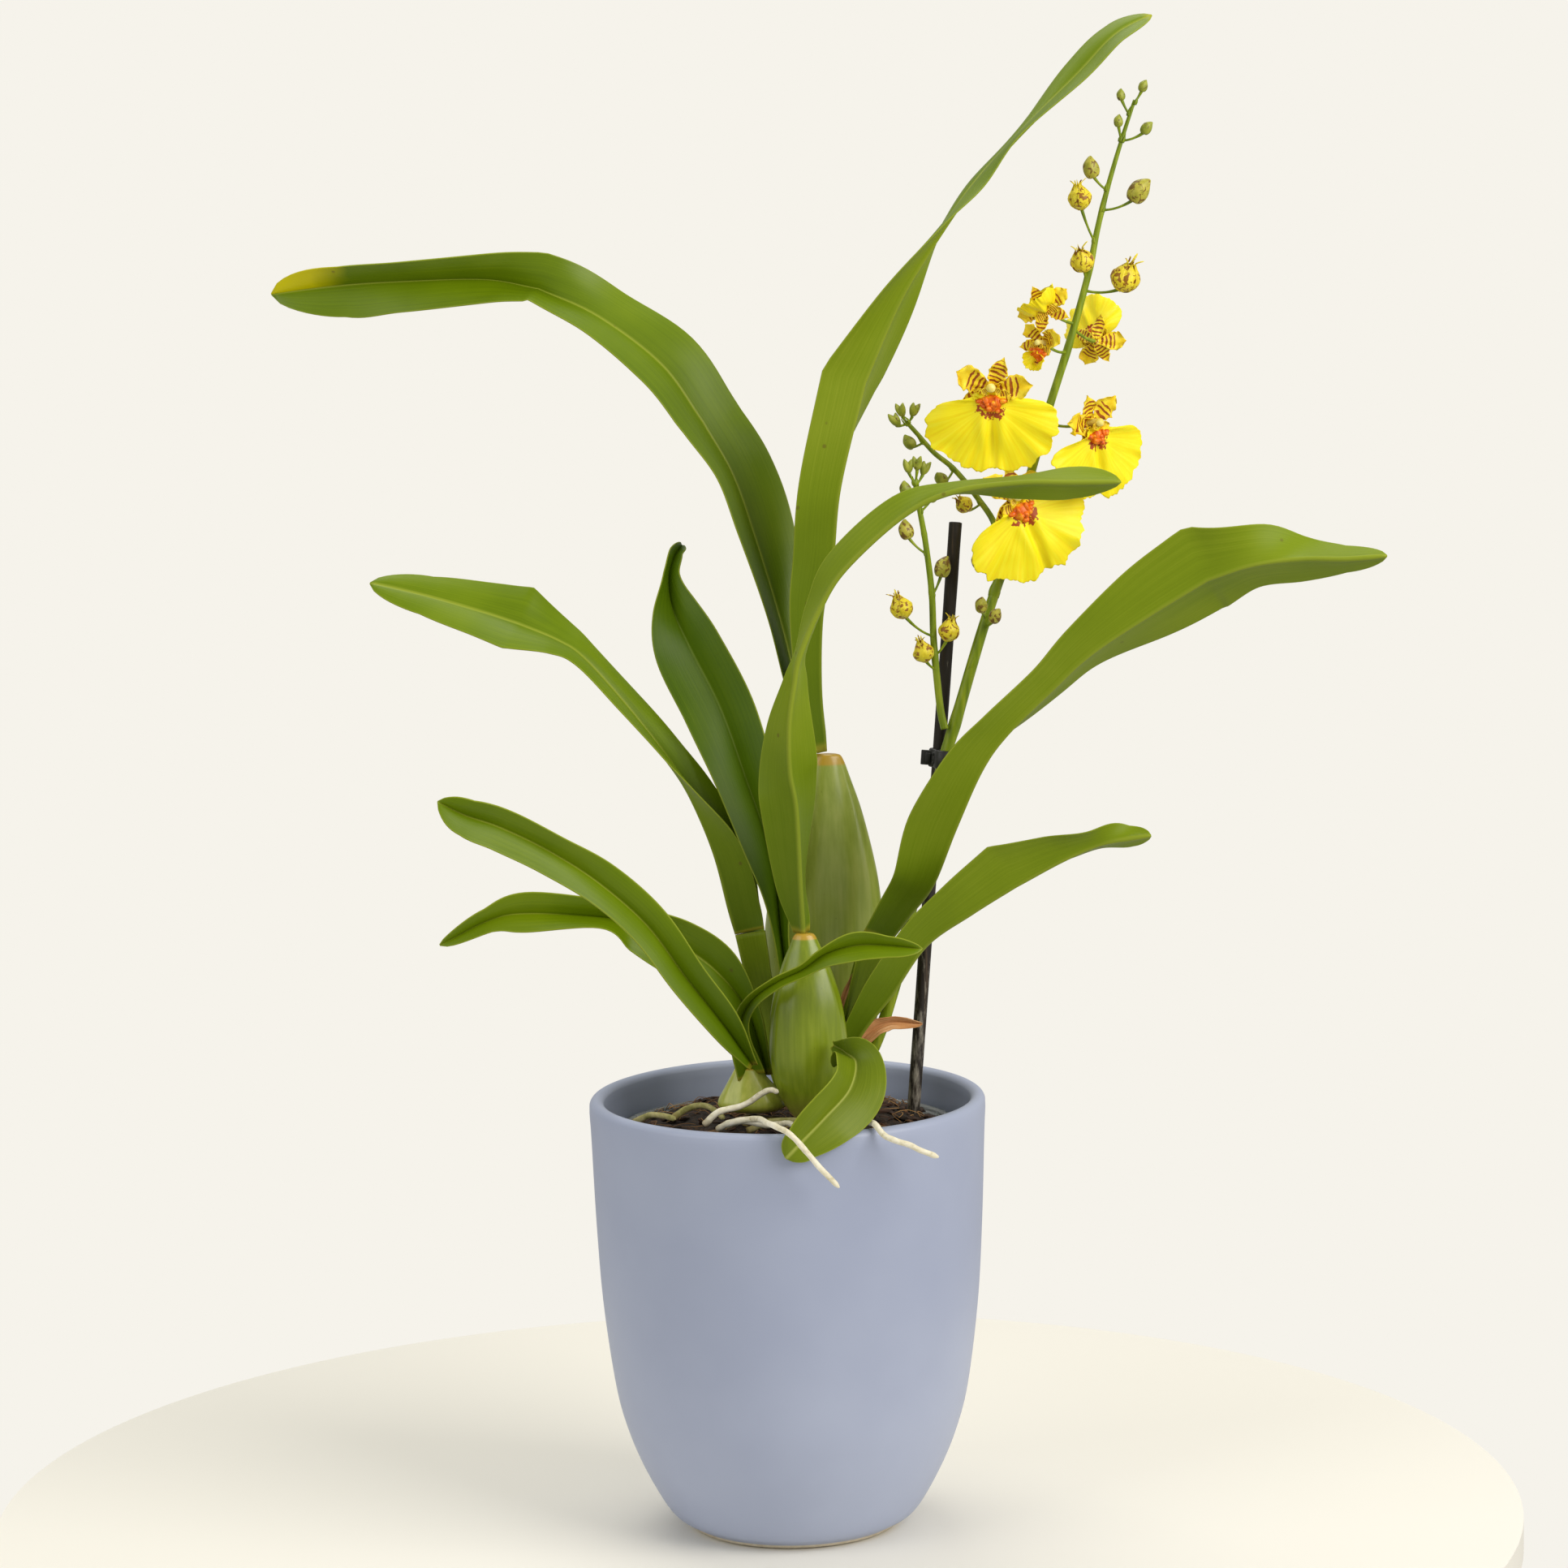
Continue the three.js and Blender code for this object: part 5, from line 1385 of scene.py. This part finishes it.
def addLip(bm, s, seed):
    callusAt = Vector((0, -4.4 * mm, 0))
    size, cup = s.get("lip", 1), s["cup"]

    def placeAt(u, t):
        v = 2 * t - 1
        x, y = u * math.sqrt(1 - v * v / 2), v * math.sqrt(1 - u * u / 2)
        r, angle = min(1, math.hypot(x, y)), math.atan2(x, -y)
        full = alongStations(lipReach, abs(angle) / math.pi)[0] * mm * size
        around = Vector((math.cos(angle), math.sin(angle), 0))
        lobes = noise.noise(around * 2.1 + Vector((0, 0, seed)))
        teeth = noise.noise(around * 7 + Vector((0, 0, seed)))
        fine = noise.noise(around * 21 + Vector((0, 0, seed + 4)))
        full *= 1 + 0.1 * lobes * r + (0.07 * teeth + 0.034 * fine) * r ** 5
        reach = full * r
        point = callusAt + Vector((math.sin(angle), -math.cos(angle), 0)) * reach
        # the two lobes swell forwards and fall back at the rim, which is drawn up in folds
        z = 2.4 * mm - (0.0048 / mm) * reach ** 2 * (1 - 0.5 * min(1, cup))
        z += 1.9 * mm * noise.noise(around * (1.9 * r) + Vector((0, 0, seed + 9))) * r
        z += 2.0 * mm * r ** 2.5 * noise.noise(around * 3.4 + Vector((0, 0, seed + 2)))
        z += 0.7 * mm * r ** 4 * noise.noise(around * 9 + Vector((0, 0, seed + 6)))
        down = max(0, math.cos(angle))
        z -= 2.0 * mm * bump(point.x, 1.6 * mm) * down * min(1, r * 2) * (1 - 0.35 * r)
        z += 1.2 * mm * bump(abs(point.x) - 3.4 * mm, 2.2 * mm) * down * bump(r - 0.35, 0.3)
        z += cup * 17 * mm * r * r * size
        point.x *= 1 - 0.4 * min(1, cup) * r
        point.z = z
        return point, Vector((0, 0, 1)), 0.17 * mm, (angle / math.pi * 3, r, 0)

    addSheet(bm, s["grid"], s["grid"], placeAt)
    addWarts(bm, random.Random(seed), 1)
    # a lip that has not opened yet is still folded up in front of the column
    fold = rotated(-s.get("fold", 0), "X")
    bmesh.ops.rotate(bm, verts=bm.verts[:], cent=callusAt, matrix=fold)


def addBall(bm, place, size, detail, materialIndex):
    ball = bmesh.ops.create_icosphere(bm, subdivisions=detail, radius=1)["verts"]
    bmesh.ops.scale(bm, verts=ball, vec=Vector(size) * mm)
    bmesh.ops.translate(bm, verts=ball, vec=Vector(place) * mm)
    for face in {face for vert in ball for face in vert.link_faces}:
        face.material_index = materialIndex


def addWarts(bm, dice, materialIndex):
    # the callus: a low cushion with two keels and a handful of lumps
    addBall(bm, (0, -4.2, 2.7), (3.6, 3.1, 1.9), 4, materialIndex)
    for side in (-1, 1):
        addBall(bm, (side * 1.7, -3.4, 4.1), (0.8, 1.9, 1.1), 3, materialIndex)
        addBall(bm, (side * 3.9, -3.3, 3.3), (1.5, 1.0, 1.0), 3, materialIndex)
    for k in range(11):
        angle, share = dice.uniform(0, 2 * math.pi), math.sqrt(dice.random())
        x, y = 3.9 * share * math.cos(angle), 2.9 * share * math.sin(angle)
        lift = 1.7 * math.sqrt(max(0, 1 - (x / 4.2) ** 2 - (y / 3.3) ** 2))
        radius = dice.uniform(0.7, 1.2)
        addBall(bm, (x, y - 4.4, 2.6 + lift), (radius, radius, radius * dice.uniform(0.8, 1.2)), 3,
                materialIndex)


def addColumn(bm, materialIndex):
    # short column leaning forward, its anther cap at the end and a small wing on each side
    points = [Vector((0, 0.8 + 1.9 * t - 1.1 * t * t,
                      -1.0 + 6.6 * t)) * mm for t in [i / 12 for i in range(13)]]
    addRod(bm, points, lambda t: (1.6 - 0.3 * math.sin(math.pi * t)) * mm, 18, materialIndex)
    addBall(bm, points[-1] / mm, (1.45, 1.55, 1.3), 3, materialIndex)
    for side, angle in ((-1, 205), (1, -25)):
        matrix = Matrix.Translation(Vector((side * 0.6, 1.2, 4.4)) * mm) @ rotated(angle, "Z")
        addTepal(bm, 3.2 * mm, 1.2 * mm, 0.25, 0.3, matrix, 0, 0.3, (8, 12), side * 2.2, 0.9, 0.3)


def addPerianth(bm, s, seed):
    # a dorsal sepal, two broad petals and two side sepals, then the column
    closing = s["close"]
    arms = [
        (s["dorsal"], 12.0, 3.4, 0), (s["petals"][0], 13.8, 4.3, 1), (s["petals"][1], 14.6, 4.3, 1),
        (s["dorsal"] + 142, 13.5, 3.2, 0), (s["dorsal"] - 142, 13.5, 3.2, 0),
    ]
    for k, (angle, length, width, kind) in enumerate(arms):
        base = Matrix.Translation((0, 0.6 * mm, (-1.6 + 0.35 * kind) * mm))
        lean = rotated(-8 - 55 * closing, "Y")
        matrix = base @ rotated(angle, "Z") @ lean
        addTepal(bm, length * mm, width * mm, 0.12 + 0.35 * closing, 0.9, matrix, 0, kind, (14, 30),
                 seed + k * 1.9, 0.8, 0.12)
    for k, angle in enumerate((12, 168)):
        matrix = Matrix.Translation(Vector((0, -2.6, 2.2)) * mm) @ rotated(angle, "Z")
        addTepal(bm, 7.0 * mm, 2.5 * mm, 0.1, 0.6, matrix, 0, 0.35, (10, 16), seed + k * 4.3, 1.0, 0.2)
    addColumn(bm, 1)


def flowerMatrix(s):
    turn = rotated(s["turn"], "Z") @ rotated(90 + s["nod"], "X")
    spin = rotated(s["roll"], "Z") @ Matrix.Scale(s["size"], 4)
    return Matrix.Translation(Vector(s["at"]) * mm) @ turn @ spin


lipTissue, callusWax, barredTissue, columnWax = lipSkin(), callusSkin(), barredSkin(), columnSkin()
stemGreen = stemSkin()
ripeBud = budSkin("ripeBudSkin", ("#9c9a2e", "#bdb545"), "#6d4a1a", 0.52)
greenBud = budSkin("greenBudSkin", ("#7f8b24", "#a3a93c"), "#6a5a20", 0.6)
openingBud = budSkin("openingBudSkin", ("#d9c21c", "#f3e23c"), "#8a4a14", 0.53)
stemSkins = [stemGreen, ripeBud, openingBud, greenBud]

for number, flower in enumerate(flowers):
    matrix = flowerMatrix(flower)
    bm = bmesh.new()
    addLip(bm, flower, number * 2.4 + 0.8)
    bmesh.ops.transform(bm, matrix=matrix, verts=bm.verts[:])
    finishPiece(camelName(flower["node"]) + "Lip", bm, [lipTissue, callusWax], [flower["node"] + "_lip"])
    bm = bmesh.new()
    addPerianth(bm, flower, number * 3.1 + 0.4)
    bmesh.ops.transform(bm, matrix=matrix, verts=bm.verts[:])
    finishPiece(camelName(flower["node"]) + "Petals", bm, [barredTissue, columnWax],
                [flower["node"] + "_perianth"])

halfOpen = [
    {"node": "half_open_bud_left", "at": (108.5, 22.5, 446), "from": (112.5, 26, 437), "width": 8.4,
     "aim": (-0.25, -0.5, 0.85)},
    {"node": "half_open_bud_right", "at": (124, 23, 440), "from": (111.5, 26, 434), "width": 10.5,
     "aim": (0.3, -0.45, 0.85)},
]
for number, s in enumerate(halfOpen):
    bm = bmesh.new()
    addOpeningBud(bm, Vector(s["at"]) * mm, Vector(s["aim"]).normalized(), s["width"] * mm, 0,
                  number * 0.9 + 0.3)
    finishPiece(camelName(s["node"]), bm, [openingBud], [s["node"]])


def addFlowerStalks(bm, points):
    for s in flowers:
        back = flowerMatrix(s) @ (Vector((0, 0.5, -2.4)) * mm)
        addStalk(bm, nearestOn(points, Vector(s["from"]) * mm), back, 0.6 * mm, 0)
    for s in halfOpen:
        start = nearestOn(points, Vector(s["from"]) * mm)
        centre = Vector(s["at"]) * mm
        end = centre - Vector(s["aim"]).normalized() * s["width"] * 0.5 * mm
        addStalk(bm, start, end, 0.55 * mm, 0)
    for height, side in ((263, (-0.5, -0.8, 0)), (283, (-0.75, -0.6, 0)), (303, (0.85, -0.5, 0)),
                         (329, (-0.2, -0.95, 0)), (349, (0.8, -0.5, 0))):
        foot = min(points, key=lambda point: abs(point.z - height * mm))
        addBract(bm, foot, Vector((0.28, 0.05, 0.95)).normalized(), Vector(side), 9 * mm, 2.3 * mm, 0, 0.75)


def spikeRadius(share):
    base = mix(2.15, 0.6, max(0, share - 0.35) / 0.65)
    return base * (1 + 0.1 * nodeSwelling(share, (0.12, 0.24, 0.37, 0.5, 0.6, 0.68, 0.76, 0.84))) * mm


modelSpray("flowerSpike", "flower_spike", spikeLine, 240, spikeRadius, spikeBuds, stemSkins,
           addFlowerStalks)
modelSpray("sprayLeft", "spray_left", leftSprayLine, 90,
           lambda t: mix(1.4, 0.85, t) * (1 + 0.1 * nodeSwelling(t, (0.3, 0.5, 0.7))) * mm,
           leftSprayBuds, stemSkins)
modelSpray("sprayBack", "spray_back", backSprayLine, 70, lambda t: mix(1.2, 0.75, t) * mm, backSprayBuds,
           stemSkins)
print("stems, buds and flowers modelled")


print("done")
